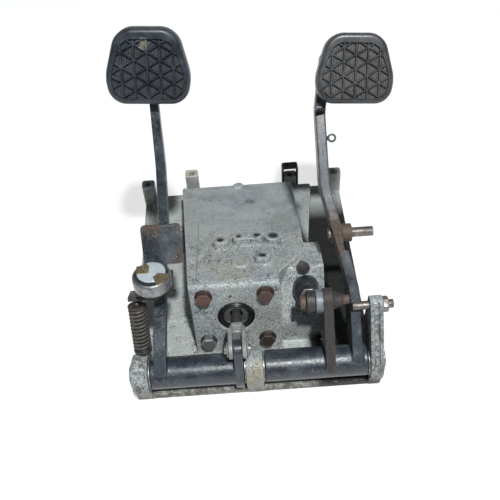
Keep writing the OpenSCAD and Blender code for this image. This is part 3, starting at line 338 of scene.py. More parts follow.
def wound_spring(name, node, lean, wire, turns):
    """A coil of round wire with closed ends in the place of a node, and the middle of its far end."""
    place, size = leaning_box(node, lean)
    piece = ring(name, sides=14, radius=wire / 2, location=((size.x - wire) / 2, 0, wire / 2),
                 rotation=(pi / 2, 0, 0))
    bpy.ops.object.transform_apply(location=True, rotation=True, scale=True)
    modify(piece, "SCREW", axis="Z", angle=2 * pi, screw_offset=(size.z - wire) / turns, iterations=turns,
           steps=28, render_steps=28)
    edit(piece)
    bpy.ops.mesh.select_all(action="DESELECT")
    bpy.ops.mesh.select_mode(type="EDGE")
    bpy.ops.mesh.select_non_manifold()
    bpy.ops.mesh.edge_face_add()
    face_outwards()
    smooth(piece, angle=50)
    piece.data.transform(place)
    return piece, place @ Vector((0, 0, size.z))


def dress(piece, material, *nodes):
    """Give a piece its finish and let it stand for CAD nodes, on their body."""
    piece.data.materials.clear()
    piece.data.materials.append(material)
    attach(piece, NODES[nodes[0]]["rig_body"])
    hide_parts(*nodes)


# Shader helpers

def feed(tree, socket, value):
    """Link a socket, or set its own value."""
    if isinstance(value, bpy.types.NodeSocket):
        tree.links.new(value, socket)
    elif isinstance(value, tuple) and len(value) == 3 and socket.type == "RGBA":
        socket.default_value = (*value, 1)
    else:
        socket.default_value = value


def put(tree, kind, values=None, **settings):
    """Add a node with its settings and inputs."""
    node = tree.nodes.new(kind)
    for key, value in settings.items():
        setattr(node, key, value)
    for key, value in (values or {}).items():
        feed(tree, node.inputs[key], value)
    return node


def mix(tree, share, a, b):
    """Mix two colours."""
    node = put(tree, "ShaderNodeMix", {0: share, 6: a, 7: b}, data_type="RGBA")
    return node.outputs[2]


def calc(tree, operation, a, b=0.0):
    """One step of arithmetic."""
    return put(tree, "ShaderNodeMath", {0: a, 1: b}, operation=operation).outputs[0]


def times(tree, first, *others):
    """Product of masks and numbers."""
    for other in others:
        first = calc(tree, "MULTIPLY", first, other)
    return first


def lay(tree, colour, tone, *masks):
    """Lay a tone over a colour by the product of masks and numbers."""
    return mix(tree, times(tree, *masks), colour, tone)


def ramp(tree, value, low, high, to_low=0.0, to_high=1.0):
    """Map a value from one range to another, and stop at its ends."""
    return put(tree, "ShaderNodeMapRange", {
        "Value": value, "From Min": low, "From Max": high, "To Min": to_low, "To Max": to_high,
    }).outputs[0]


def noise(tree, where, scale, detail=3.0, rough=0.55):
    """Plain noise."""
    return put(tree, "ShaderNodeTexNoise", {
        "Vector": where, "Scale": scale, "Detail": detail, "Roughness": rough,
    }).outputs[0]


def object_place(tree):
    """The place on the object."""
    return tree.nodes.new("ShaderNodeTexCoord").outputs["Object"]


def along(tree, axis):
    """Distance of the place along an axis."""
    values = {0: object_place(tree), 1: axis}
    return put(tree, "ShaderNodeVectorMath", values, operation="DOT_PRODUCT").outputs["Value"]


def shared(name, inputs, outputs):
    """A shader group with its sockets: the tree, its inputs, its outputs and the place on the object."""
    tree = bpy.data.node_groups.new(name, "ShaderNodeTree")
    for label, value in inputs.items():
        kind = "NodeSocketVector" if isinstance(value, tuple) else "NodeSocketFloat"
        tree.interface.new_socket(label, in_out="INPUT", socket_type=kind).default_value = value
    for label, kind in outputs.items():
        tree.interface.new_socket(label, in_out="OUTPUT", socket_type=kind)
    enter = tree.nodes.new("NodeGroupInput").outputs
    leave = tree.nodes.new("NodeGroupOutput").inputs
    return tree, enter, leave, object_place(tree)


def use(tree, group, **values):
    """Place a shared effect in a material."""
    node = put(tree, "ShaderNodeGroup", node_tree=group)
    for label, value in values.items():
        feed(tree, node.inputs[label], value)
    return node.outputs


# Shared effects

# Tones of rust
RUST_DEEP = (0.04, 0.029, 0.024)
RUST_BROWN = (0.125, 0.077, 0.054)
RUST_FLECK = (0.25, 0.155, 0.10)

# Pointiness where wear, and grime with painted shade, begin and where they are full
WORN_EDGE = (0.522, 0.59)
GRIME_AND_SHADE_CORNER = (0.48, 0.41)


def mottle_group():
    """Cloudy share between two levels of noise."""
    tree, enter, leave, where = shared(
        "mottle", {"Scale": 100.0, "Low": 0.4, "High": 0.6}, {"Share": "NodeSocketFloat"})
    value = noise(tree, where, enter["Scale"], 5.0, 0.6)
    feed(tree, leave["Share"], ramp(tree, value, enter["Low"], enter["High"]))
    return tree


def speck_group():
    """Small round specks or pits, thinned out by noise."""
    tree, enter, leave, where = shared("specks", {"Scale": 400.0, "Size": 0.2}, {"Mask": "NodeSocketFloat"})
    cells = put(tree, "ShaderNodeTexVoronoi", {"Vector": where, "Scale": enter["Scale"]}).outputs["Distance"]
    thin = ramp(tree, noise(tree, where, 90.0), 0.42, 0.62)
    reach = times(tree, enter["Size"], thin)
    feed(tree, leave["Mask"], ramp(tree, calc(tree, "SUBTRACT", reach, cells), 0.0, 0.08))
    return tree


def wear_group():
    """Worn outer edges, and inner corners darkened as grime and painted shade, broken up by noise."""
    tree, enter, leave, where = shared(
        "edge_wear", {"Scale": 160.0, "Amount": 0.5},
        {"Worn": "NodeSocketFloat", "GrimeAndShade": "NodeSocketFloat"})
    point = put(tree, "ShaderNodeNewGeometry").outputs["Pointiness"]
    ragged = times(tree, calc(tree, "SUBTRACT", noise(tree, where, enter["Scale"]), 0.5), 0.1)
    edge = calc(tree, "ADD", point, ragged)
    feed(tree, leave["Worn"], times(tree, ramp(tree, edge, *WORN_EDGE), enter["Amount"]))
    feed(tree, leave["GrimeAndShade"], ramp(tree, edge, *GRIME_AND_SHADE_CORNER))
    return tree


def rust_group():
    """Rust patches: where they are, and their colour."""
    tree, enter, leave, where = shared(
        "rust", {"Scale": 80.0, "Low": 0.55, "High": 0.7},
        {"Mask": "NodeSocketFloat", "Colour": "NodeSocketColor"})
    spread = noise(tree, where, enter["Scale"], 6.0, 0.65)
    feed(tree, leave["Mask"], ramp(tree, spread, enter["Low"], enter["High"]))
    tone = ramp(tree, noise(tree, where, 420.0, 4.0), 0.35, 0.65)
    flecks = ramp(tree, noise(tree, where, 1300.0), 0.6, 0.72)
    feed(tree, leave["Colour"], mix(tree, flecks, mix(tree, tone, RUST_DEEP, RUST_BROWN), RUST_FLECK))
    return tree


def patch_group():
    """Ragged patch around one place."""
    tree, enter, leave, where = shared(
        "patch", {"Place": (0.0, 0.0, 0.0), "Reach": 0.01, "Scale": 200.0}, {"Mask": "NodeSocketFloat"})
    ends = {0: where, 1: enter["Place"]}
    away = put(tree, "ShaderNodeVectorMath", ends, operation="DISTANCE").outputs["Value"]
    ragged = calc(tree, "SUBTRACT", noise(tree, where, enter["Scale"]), 0.5)
    share = calc(tree, "ADD", calc(tree, "DIVIDE", away, enter["Reach"]), times(tree, ragged, 1.3))
    feed(tree, leave["Mask"], ramp(tree, share, 1.0, 0.55))
    return tree


MOTTLE = mottle_group()
SPECKS = speck_group()
WEAR = wear_group()
RUST = rust_group()
PATCH = patch_group()


def mottle(tree, scale, low, high):
    """Place the cloudy share."""
    return use(tree, MOTTLE, Scale=scale, Low=low, High=high)["Share"]


def specks(tree, scale, size):
    """Place the specks."""
    return use(tree, SPECKS, Scale=scale, Size=size)["Mask"]


def edge_wear(tree, scale, amount):
    """Place the wear and grime."""
    return use(tree, WEAR, Scale=scale, Amount=amount)


def rust_cover(tree, scale, low, high):
    """Place the rust."""
    return use(tree, RUST, Scale=scale, Low=low, High=high)


def patch(tree, place, reach, scale):
    """Place a ragged patch."""
    return use(tree, PATCH, Place=place, Reach=reach, Scale=scale)["Mask"]


# Finishes

def finish(name, **constants):
    """A material with one Principled shader, ready for links."""
    material = bpy.data.materials.new(name)
    material.use_nodes = True
    tree = material.node_tree
    tree.nodes.clear()
    out = tree.nodes.new("ShaderNodeOutputMaterial")
    shader = tree.nodes.new("ShaderNodeBsdfPrincipled")
    tree.links.new(shader.outputs[0], out.inputs[0])
    for label, value in constants.items():
        shader.inputs[label.replace("_", " ")].default_value = value
    return material, tree, shader.inputs


def set_bump(tree, inputs, height, strength, depth):
    """Relief from a height, as deep as depth for each unit of it."""
    feed(tree, inputs["Normal"], put(tree, "ShaderNodeBump", {
        "Height": height, "Strength": strength, "Distance": depth,
    }).outputs[0])


# Tones of the casting
CAST_COOL = (0.30, 0.352, 0.388)
CAST_PALE = (0.50, 0.532, 0.53)
CAST_OLIVE = (0.40, 0.41, 0.365)
CAST_DIM = (0.2, 0.222, 0.228)
CAST_MILKY = (0.53, 0.555, 0.545)
CAST_SALT = (0.82, 0.84, 0.82)
CAST_GRAIN = (0.06, 0.063, 0.062)
CAST_LIMED = (0.60, 0.62, 0.57)
CAST_SPOT = (0.08, 0.076, 0.07)
CAST_PIT = (0.04, 0.038, 0.035)
# Soil streaks and painted shade along the front, under the tubes
CAST_SOIL_AND_SHADE = (0.05, 0.05, 0.043)
CAST_BROWN = (0.12, 0.088, 0.058)
# Painted shadow laid on the base plate in the bay beside the tower
CAST_BAY_SHADOW = (0.011, 0.0108, 0.0105)
CAST_GRIME_SHADE = (0.045, 0.043, 0.038)
CAST_WORN = (0.76, 0.80, 0.81)
CAST_HOLE_SHADE = (0.014, 0.013, 0.012)
OCHRE = (0.60, 0.56, 0.40)

# Where the casting changes: the places where a mask begins and where it is full
PITTED_Y = (0.15, 0.12)
LIMED_Z = (0.013, 0.006)
# Front strip under the tubes: soil streaks and painted shade
SOIL_AND_SHADE_Y = (0.024, 0.012)
BOSS_SIDE_X = (0.02, 0.035)
EDGE_Y, EDGE_Z = (-0.004, -0.009), (0.014, 0.008)
# Bay beside the tower that holds a painted shadow
BAY_X, BAY_Y, BAY_Z = (0.052, 0.066), (0.242, 0.21), (0.02, 0.01)

# Reach of the painted shade in a tapped hole, in radii of the hole
HOLE_SHADE = 2.2

# Patches on the casting: place, reach, share and tone
CAST_PATCHES = (
    ((-0.058, 0.2585, 0.05), 0.014, 0.75, OCHRE),
    ((0.111, 0.2585, 0.038), 0.013, 0.75, OCHRE),
    ((-0.012, 0.066, 0.092), 0.024, 0.35, (0.50, 0.44, 0.28)),
    ((-0.035, 0.085, 0.087), 0.016, 0.25, (0.46, 0.42, 0.27)),
    ((0.004, -0.016, 0.034), 0.02, 0.6, (0.42, 0.34, 0.17)),
    ((-0.075, 0.19, 0.007), 0.03, 0.75, (0.085, 0.065, 0.05)),
    ((0.008, 0.198, 0.053), 0.008, 0.7, (0.085, 0.095, 0.105)),
    ((0.045, 0.15, 0.066), 0.03, 0.45, (0.20, 0.23, 0.215)),
    ((-0.02, 0.15, 0.066), 0.03, 0.4, (0.50, 0.52, 0.50)),
    ((0.0, 0.045, 0.06), 0.03, 0.35, (0.30, 0.26, 0.19)),
    ((-0.108, 0.24, 0.02), 0.02, 0.6, (0.10, 0.085, 0.065)),
)


def cast_finish():
    """Sand-cast aluminium, dull and mottled, with salt, pits, ochre deposits, oil and worn edges."""
    material, tree, inputs = finish("cast_aluminium", Metallic=0.12)
    axes = put(tree, "ShaderNodeSeparateXYZ", {0: object_place(tree)}).outputs
    x, y, z = axes["X"], axes["Y"], axes["Z"]
    cloud = mottle(tree, 120.0, 0.4, 0.66)
    grain = mottle(tree, 720.0, 0.53, 0.64)
    salt = mottle(tree, 620.0, 0.52, 0.63)
    streaks = mottle(tree, 210.0, 0.42, 0.58)
    pits = specks(tree, 480.0, 0.4)
    pitted = ramp(tree, y, *PITTED_Y, 0.35, 1.0)
    wear = edge_wear(tree, 170.0, 0.85)

    # Skin of the casting
    colour = mix(tree, mottle(tree, 26.0, 0.38, 0.62), CAST_COOL, CAST_PALE)
    colour = lay(tree, colour, CAST_OLIVE, mottle(tree, 15.0, 0.42, 0.6), 0.5)
    colour = lay(tree, colour, CAST_DIM, mottle(tree, 55.0, 0.5, 0.66), 0.6)
    colour = lay(tree, colour, CAST_MILKY, cloud, 0.45)
    colour = lay(tree, colour, CAST_SALT, salt, pitted, 0.8)
    colour = lay(tree, colour, CAST_GRAIN, grain, pitted, 0.8)
    colour = lay(tree, colour, CAST_LIMED, ramp(tree, z, *LIMED_Z), 0.4)

    # Deposits, spots and pits
    broken = ramp(tree, cloud, 0.0, 0.6, 0.25, 1.0)
    for spot, reach, share, tone in CAST_PATCHES:
        colour = lay(tree, colour, tone, patch(tree, spot, reach, 230.0), broken, share)
    colour = lay(tree, colour, CAST_SPOT, specks(tree, 170.0, 0.24), 0.65)
    colour = lay(tree, colour, CAST_PIT, pits, pitted, 0.9)

    # Soil streaks and painted shade under the tubes at the front, brown front edge, painted shadow in the
    # bay beside the tower
    aside = ramp(tree, calc(tree, "ABSOLUTE", x), *BOSS_SIDE_X, 0.2, 0.68)
    # Darker in front under the tubes: soil streaks and painted shade
    colour = lay(tree, colour, CAST_SOIL_AND_SHADE, ramp(tree, y, *SOIL_AND_SHADE_Y), streaks, aside)
    front = times(tree, ramp(tree, y, *EDGE_Y), ramp(tree, z, *EDGE_Z))
    colour = lay(tree, colour, CAST_BROWN, front, ramp(tree, streaks, 0.0, 1.0, 0.35, 0.85))
    # Painted shadow: the bay beside the tower made nearly black
    shadowed_bay = times(tree, ramp(tree, x, *BAY_X), ramp(tree, y, *BAY_Y), ramp(tree, z, *BAY_Z))
    colour = lay(tree, colour, CAST_BAY_SHADOW, shadowed_bay, 0.985)

    # Grime and painted shade in corners, worn edges, and painted shade in the tapped holes
    colour = lay(tree, colour, CAST_GRIME_SHADE, wear["GrimeAndShade"], 0.8)
    colour = lay(tree, colour, CAST_WORN, wear["Worn"])
    # Painted shade in each tapped hole
    for mount in frame["record"]["mounts"]:
        if mount["kind"] == "threaded_hole":
            reach = HOLE_SHADE * MM * mount["dims"]["r_mm"]
            hole = patch(tree, tuple(mount["pos_m"]), reach, 30.0)
            colour = lay(tree, colour, CAST_HOLE_SHADE, hole, 0.9)
    feed(tree, inputs["Base Color"], colour)
    feed(tree, inputs["Roughness"], ramp(tree, cloud, 0.0, 1.0, 0.34, 0.56))
    height = calc(tree, "SUBTRACT", calc(tree, "ADD", salt, cloud), calc(tree, "ADD", pits, grain))
    set_bump(tree, inputs, height, strength=0.6, depth=0.4 * MM)
    return material


# Tones of the paint; the bluish dust tone is partly a painted reflection
PAINT_BLACK = (0.012, 0.016, 0.023)
PAINT_DUST_SHEEN = (0.05, 0.066, 0.087)
PAINT_BLOOM = (0.15, 0.175, 0.205)
PAINT_CHIP = (0.40, 0.40, 0.39)
PAINT_WORN = (0.17, 0.16, 0.15)


def paint_finish(name, rust_low, rust_high, shine, places=(), dusty=PAINT_DUST_SHEEN):
    """Black satin paint with dust, its bluish tone partly a painted reflection, with rust breaking through
    in patches.
    """
    material, tree, inputs = finish(name, Specular_IOR_Level=0.75)
    dust_and_sheen = mottle(tree, 45.0, 0.38, 0.7)
    fine = mottle(tree, 650.0, 0.5, 0.72)
    rust = rust_cover(tree, 70.0, rust_low, rust_high)
    wear = edge_wear(tree, 240.0, 0.6)
    rusted = rust["Mask"]
    for spot, reach, scale in places:
        rusted = calc(tree, "MAXIMUM", rusted, patch(tree, spot, reach, scale))
    # Dust mottle on the black, bluish as painted reflection
    colour = mix(tree, dust_and_sheen, PAINT_BLACK, dusty)
    colour = lay(tree, colour, PAINT_BLOOM, fine, 0.38)
    colour = lay(tree, colour, rust["Colour"], rusted, 0.88)
    colour = lay(tree, colour, PAINT_CHIP, specks(tree, 460.0, 0.25), 0.7)
    colour = lay(tree, colour, PAINT_WORN, wear["Worn"])
    feed(tree, inputs["Base Color"], colour)
    dull = ramp(tree, dust_and_sheen, 0.0, 1.0, shine, shine + 0.18)
    feed(tree, inputs["Roughness"], calc(tree, "MAXIMUM", dull, times(tree, rusted, 0.8)))
    height = calc(tree, "ADD", fine, times(tree, rusted, 0.8))
    set_bump(tree, inputs, height, strength=0.42, depth=0.22 * MM)
    return material


# Tone of rusty steel where it rubs
RUBBED_STEEL = (0.27, 0.245, 0.225)


def rust_finish(name, base, low, bare):
    """Steel brown with surface rust over its base colour, with bare metal where it rubs."""
    material, tree, inputs = finish(name)
    rust = rust_cover(tree, 90.0, low, low + 0.28)
    grain = mottle(tree, 900.0, 0.3, 0.7)
    wear = edge_wear(tree, 260.0, 0.7)
    rubbed = calc(tree, "MAXIMUM", wear["Worn"], times(tree, grain, bare))
    colour = mix(tree, rust["Mask"], base, rust["Colour"])
    colour = lay(tree, colour, RUBBED_STEEL, rubbed)
    feed(tree, inputs["Base Color"], colour)
    feed(tree, inputs["Metallic"], times(tree, rubbed, 0.7))
    feed(tree, inputs["Roughness"], ramp(tree, grain, 0.0, 1.0, 0.48, 0.8))
    set_bump(tree, inputs, calc(tree, "ADD", grain, rust["Mask"]), strength=0.5, depth=0.15 * MM)
    return material


# Tones of plated and bare metal
METAL_STAIN = (0.16, 0.11, 0.075)
METAL_GRIME_SHADE = (0.05, 0.045, 0.04)


def metal_finish(name, light, dark, shine, stain=METAL_STAIN, stain_low=0.58, metallic=0.85):
    """Plated or bare metal, or hard plastic, with dull stains and a fine grain."""
    material, tree, inputs = finish(name)
    cloud = mottle(tree, 150.0, 0.35, 0.65)
    grain = mottle(tree, 1600.0, 0.3, 0.7)
    stains = mottle(tree, 260.0, stain_low, stain_low + 0.12)
    wear = edge_wear(tree, 300.0, 0.5)
    colour = mix(tree, cloud, dark, light)
    colour = lay(tree, colour, stain, stains, 0.7)
    # Inner corners darkened: grime and painted shade
    colour = lay(tree, colour, METAL_GRIME_SHADE, wear["GrimeAndShade"], 0.6)
    feed(tree, inputs["Base Color"], colour)
    feed(tree, inputs["Metallic"], ramp(tree, stains, 0.0, 1.0, metallic, 0.2))
    feed(tree, inputs["Roughness"], ramp(tree, cloud, 0.0, 1.0, shine + 0.18, shine))
    set_bump(tree, inputs, calc(tree, "ADD", grain, stains), strength=0.2, depth=0.08 * MM)
    return material


# Tones of the bolts, and which of them differ: place, share and tone
BOLT_RED = (0.185, 0.088, 0.075)
BOLT_BRIGHT = (0.52, 0.54, 0.55)
BOLT_GRAIN = (0.07, 0.055, 0.05)
BOLT_FLANGE_SHADE = (0.028, 0.018, 0.016)
BOLT_GRIME_SHADE = (0.012, 0.010, 0.009)
BOLT_WORN = (0.40, 0.31, 0.29)
BOLT_REACH = 0.024
BRIGHT_BOLT_AT = (-0.042, 0.03, 0.035)
DULL_BOLTS = (
    ((0.016, 0.03, 0.035), 0.8, (0.05, 0.041, 0.034)),
    ((0.016, 0.03, 0.08), 0.65, (0.075, 0.05, 0.043)),
)

# Depths below a bolt's top where the painted shade on its flange begins and is full
FLANGE_SHADE_DEPTH = (1.0 * MM, 4.5 * MM)


def bolt_finish():
    """Flange bolts, as they differ in age: one rusty, one brown, one dark and one bright, with painted shade
    on the flanges below the heads.
    """
    material, tree, inputs = finish("bolt_steel")
    rust = rust_cover(tree, 150.0, 0.3, 0.62)
    grain = mottle(tree, 900.0, 0.3, 0.7)
    wear = edge_wear(tree, 420.0, 0.75)
    out = Matrix.Rotation(radians(-FACE_LEAN), 3, "X") @ Vector((0, -1, 0))
    top = max(out.dot(v.co) for v in NODES["face_bolts"].data.vertices)
    flange_shade = ramp(tree, along(tree, out), *(top - depth for depth in FLANGE_SHADE_DEPTH))
    colour = lay(tree, BOLT_RED, rust["Colour"], rust["Mask"], 0.65)
    bright = patch(tree, BRIGHT_BOLT_AT, BOLT_REACH, 300.0)
    for spot, share, tone in DULL_BOLTS:
        colour = lay(tree, colour, tone, patch(tree, spot, BOLT_REACH, 300.0), share)
    colour = lay(tree, colour, BOLT_BRIGHT, bright)
    colour = lay(tree, colour, BOLT_GRAIN, grain, 0.3)
    # Painted shade: the flange below each hex head darkened
    colour = lay(tree, colour, BOLT_FLANGE_SHADE, flange_shade, 0.75)
    # Inner corners darkened: grime and painted shade
    colour = lay(tree, colour, BOLT_GRIME_SHADE, wear["GrimeAndShade"], 0.85)
    colour = lay(tree, colour, BOLT_WORN, wear["Worn"])
    feed(tree, inputs["Base Color"], colour)
    feed(tree, inputs["Metallic"], ramp(tree, bright, 0.0, 1.0, 0.25, 0.8))
    feed(tree, inputs["Roughness"], ramp(tree, grain, 0.0, 1.0, 0.36, 0.6))
    set_bump(tree, inputs, grain, strength=0.3, depth=0.12 * MM)
    return material


# Tones of the rubber
RUBBER_WORN = (0.095, 0.1, 0.108)
RUBBER_GRIME_SHADE = (0.008, 0.008, 0.009)
RUBBER_BARE = (0.30, 0.29, 0.22)
BARE_REACH = 0.0052

# Depths below a pad's top where the dust of its tread begins and is full, and where it thins out again
DUST_TOP = (0.9 * MM, 1.7 * MM)
DUST_BED = (3.4 * MM, 2.9 * MM)


def tread_depth(tree, place, size):
    """Mask of the dusty depth of a pad's tread."""
    up = place.to_3x3() @ Vector((0, 0, 1))
    top = up.dot(place @ Vector((0, 0, size.z)))
    rise = along(tree, up)
    under_ridges = ramp(tree, rise, *(top - depth for depth in DUST_TOP))
    above_bed = ramp(tree, rise, *(top - depth for depth in DUST_BED))
    return times(tree, under_ridges, above_bed)


def rubber_finish(name, dark, pale, bare_at=None, tread=None, dusty=None):
    """Moulded black rubber, with a pale tone mottled in as dust and painted bluish sheen, worn on its
    ridges, dusty deep in its tread.
    """
    material, tree, inputs = finish(name, Specular_IOR_Level=0.6)
    dust_and_sheen = mottle(tree, 70.0, 0.4, 0.68)
    grain = mottle(tree, 1100.0, 0.45, 0.7)
    wear = edge_wear(tree, 300.0, 0.45)
    # Mottled pale tone: dust, and on the boots and clutch pad a painted bluish sheen
    colour = mix(tree, dust_and_sheen, dark, pale)
    colour = lay(tree, colour, pale, grain, 0.25)
    colour = lay(tree, colour, RUBBER_WORN, wear["Worn"])
    # Inner corners darkened: grime and painted shade
    colour = lay(tree, colour, RUBBER_GRIME_SHADE, wear["GrimeAndShade"], 0.6)
    if tread:
        blotch = ramp(tree, mottle(tree, 260.0, 0.36, 0.6), 0.0, 1.0, 0.35, 0.95)
        colour = lay(tree, colour, dusty, tread_depth(tree, *tread), blotch)
    if bare_at:
        colour = lay(tree, colour, RUBBER_BARE, patch(tree, bare_at, BARE_REACH, 420.0), 0.75)
    feed(tree, inputs["Base Color"], colour)
    feed(tree, inputs["Roughness"], ramp(tree, dust_and_sheen, 0.0, 1.0, 0.34, 0.5))
    set_bump(tree, inputs, calc(tree, "ADD", grain, dust_and_sheen), strength=0.22, depth=0.1 * MM)
    return material


# Places on the part that the finishes refer to
CLUTCH_TREAD = leaning_box("clutch_pad", CLUTCH_ANGLE + PAD_LEAN, PAD_TURN)
BRAKE_TREAD = leaning_box("brake_pad", BRAKE_ANGLE + PAD_LEAN, PAD_TURN)
PAD_AT, PAD_SIZE = CLUTCH_TREAD
WORN_SPOT = PAD_AT @ Vector((-2 * MM, 0.3 * PAD_SIZE.y, PAD_SIZE.z))
STUD_LOW, STUD_HIGH = (Vector(corner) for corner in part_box("stud_collar"))
STUD_FOOT = (STUD_LOW.x - 3 * MM, (STUD_LOW.y + STUD_HIGH.y) / 2, (STUD_LOW.z + STUD_HIGH.z) / 2)
STUD_RUST = [(STUD_FOOT, 0.03, 150.0)]
BRACKET_LOW, BRACKET_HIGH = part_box("clutch_bracket")
BRACKET_RUST = [
    ((BRACKET_LOW[0] + 10 * MM, BRACKET_HIGH[1], BRACKET_HIGH[2]), 0.014, 260.0),
    ((BRACKET_HIGH[0], BRACKET_HIGH[1], BRACKET_HIGH[2]), 0.009, 300.0),
    ((BRACKET_HIGH[0], BRACKET_LOW[1], BRACKET_LOW[2] + 8 * MM), 0.011, 300.0),
]

CAST = cast_finish()
# The dusty tones of these paints are lightened and blued as painted reflection
PAINT = paint_finish("black_paint", rust_low=0.68, rust_high=0.8, shine=0.24)
BRACKET_PAINT = paint_finish("bracket_paint", rust_low=0.62, rust_high=0.76, shine=0.42,
                             places=BRACKET_RUST, dusty=(0.12, 0.14, 0.16))
ARM_PAINT = paint_finish("brake_arm_paint", rust_low=0.68, rust_high=0.8, shine=0.28,
                         places=STUD_RUST, dusty=(0.07, 0.085, 0.106))
RUSTY = rust_finish("rusty_steel", (0.12, 0.075, 0.05), low=0.45, bare=0.2)
DARK_RUST = rust_finish("dark_rusty_steel", (0.03, 0.03, 0.032), low=0.48, bare=0.12)
RUSTY_SPRING = rust_finish("rusty_spring", (0.03, 0.027, 0.025), low=0.52, bare=0.22)
BOLTS = bolt_finish()
PLATED = metal_finish("plated_steel", (0.40, 0.405, 0.41), (0.20, 0.205, 0.21), shine=0.38,
                      stain=(0.14, 0.12, 0.10))
DUSTY = metal_finish("dusty_zinc", (0.40, 0.40, 0.385), (0.25, 0.255, 0.25), shine=0.48,
                     stain=(0.30, 0.28, 0.23), metallic=0.3)
WASHER = metal_finish("blued_steel", (0.30, 0.33, 0.37), (0.15, 0.16, 0.18), shine=0.5,
                      stain_low=0.56, metallic=0.4)
WORN_STEEL = metal_finish("worn_steel", (0.33, 0.305, 0.295), (0.16, 0.14, 0.13), shine=0.42,
                          stain=(0.11, 0.07, 0.05), stain_low=0.53)
DARK = metal_finish("dark_steel", (0.10, 0.10, 0.10), (0.045, 0.043, 0.042), shine=0.42, metallic=0.5)
ALLOY = metal_finish("bright_alloy", (0.62, 0.62, 0.61), (0.45, 0.45, 0.44), shine=0.38)
BRONZE = metal_finish("bush_bronze", (0.48, 0.33, 0.18), (0.32, 0.21, 0.11), shine=0.4)
BRASS = metal_finish("dull_brass", (0.58, 0.47, 0.27), (0.34, 0.27, 0.16), shine=0.36)
ZINC = metal_finish("bright_zinc", (0.68, 0.75, 0.80), (0.52, 0.58, 0.63), shine=0.34,
                    stain=(0.5, 0.47, 0.38), metallic=0.25)
PLASTIC = metal_finish("guide_plastic", (0.74, 0.71, 0.61), (0.62, 0.59, 0.5), shine=0.5, metallic=0.0)
PAD = rubber_finish("pad_rubber", (0.035, 0.036, 0.04), (0.085, 0.087, 0.093),
                    tread=BRAKE_TREAD, dusty=(0.14, 0.135, 0.132))
# Bluish pale tones of the clutch pad and boots: painted sheen
WORN_PAD = rubber_finish("clutch_pad_rubber", (0.012, 0.016, 0.023), (0.043, 0.056, 0.076),
                         bare_at=tuple(WORN_SPOT), tread=CLUTCH_TREAD, dusty=(0.07, 0.073, 0.08))
MOUTH_BOOT = rubber_finish("mouth_rubber", (0.004, 0.0045, 0.005), (0.013, 0.014, 0.016))
BOOT = rubber_finish("boot_rubber", (0.009, 0.010, 0.012), (0.035, 0.041, 0.048))


# Pieces

CAST_NODES = ("base_plate", "tower", "brake_lobe", "shaft_ears", "lugs", "roof_bosses")
dress(forged(CAST_NODES, "cast_housing", voxel=0.85 * MM, rounds=5, share=0.26), CAST, *CAST_NODES)

for name, nodes, paint in (
    ("clutch_weldment", ("clutch_tube", "clutch_bar", "clutch_lever"), PAINT),
    ("brake_weldment", ("brake_tube", "brake_arm"), ARM_PAINT),
):
    dress(forged(nodes, name, voxel=0.75 * MM, rounds=6, share=0.4), paint, *nodes)

# Forged and bent pieces, and the bolts: node, voxel in millimetres, share of faces kept, finish
for node, voxel, share, paint in (
    ("clutch_arm", 0.7, 0.5, PAINT),
    ("brake_lever", 0.7, 0.5, DARK_RUST),
    ("clutch_bracket", 0.55, 0.4, BRACKET_PAINT),
    ("clutch_clevis", 0.5, 0.5, DUSTY),
    ("brake_rod_eye", 0.5, 0.5, DARK),
    ("face_bolts", 0.45, 0.6, BOLTS),
):
    dress(forged([node], node + "_forged", voxel * MM, rounds=5, share=share), paint, node)

# Machined and pressed pieces: node, edge rounding in millimetres, finish
for node, width, paint in (
    ("pivot_shaft", 0.6, PLATED),
    ("shaft_rings", 0.3, PLATED),
    ("thrust_washers", 0.3, PLATED),
    ("clutch_cylinder", 0.5, ALLOY),
    ("cylinder_ring", 0.3, PLATED),
    ("cylinder_union", 0.4, BRASS),
    ("brake_guide", 0.3, PLASTIC),
    ("blanking_plug", 0.4, DARK),
    ("stop_pin", 0.6, WORN_STEEL),
    ("stop_nut", 0.5, WORN_STEEL),
    ("lug_clip", 0.4, DARK),
    ("spring_ball", 0.2, PLATED),
    ("clutch_bushes", 0.3, BRONZE),
    ("clutch_pad_plate", 0.5, DARK),
    ("clutch_pin", 0.5, PLATED),
    ("clutch_pin_clips", 0.3, DUSTY),
    ("spring_arm", 0.4, DARK),
    ("switch_bracket", 0.4, DARK),
    ("switch_can", 0.4, PLATED),
    ("switch_seal", 0.5, BOOT),
    ("switch_disc", 0.5, ZINC),
    ("switch_blades", 0.25, BRASS),
    ("clutch_locknut", 0.5, DUSTY),
    ("clutch_pushrod", 0.3, DARK),
    ("clutch_piston", 0.3, PLATED),
    ("piston_seals", 0.3, BOOT),
    ("spring_lower_cup", 0.4, DARK),
    ("spring_upper_cup", 0.4, RUSTY_SPRING),
    ("brake_bushes", 0.3, BRONZE),
    ("stud_collar", 0.8, RUSTY),
    ("brake_stud", 0.6, WORN_STEEL),
    ("brake_eyelet", 0.3, DARK),
    ("brake_pad_plate", 0.5, DARK),
    ("brake_pin", 0.6, RUSTY),
    ("brake_pin_washer", 0.5, WASHER),
    ("brake_locknut", 0.4, PLATED),
    ("brake_pushrod", 0.4, PLATED),
):
    dress(softened(node, width * MM), paint, node)

dress(rubber_pad("clutch_rubber_pad", "clutch_pad", CLUTCH_ANGLE), WORN_PAD, "clutch_pad")
dress(rubber_pad("brake_rubber_pad", "brake_pad", BRAKE_ANGLE), PAD, "brake_pad")

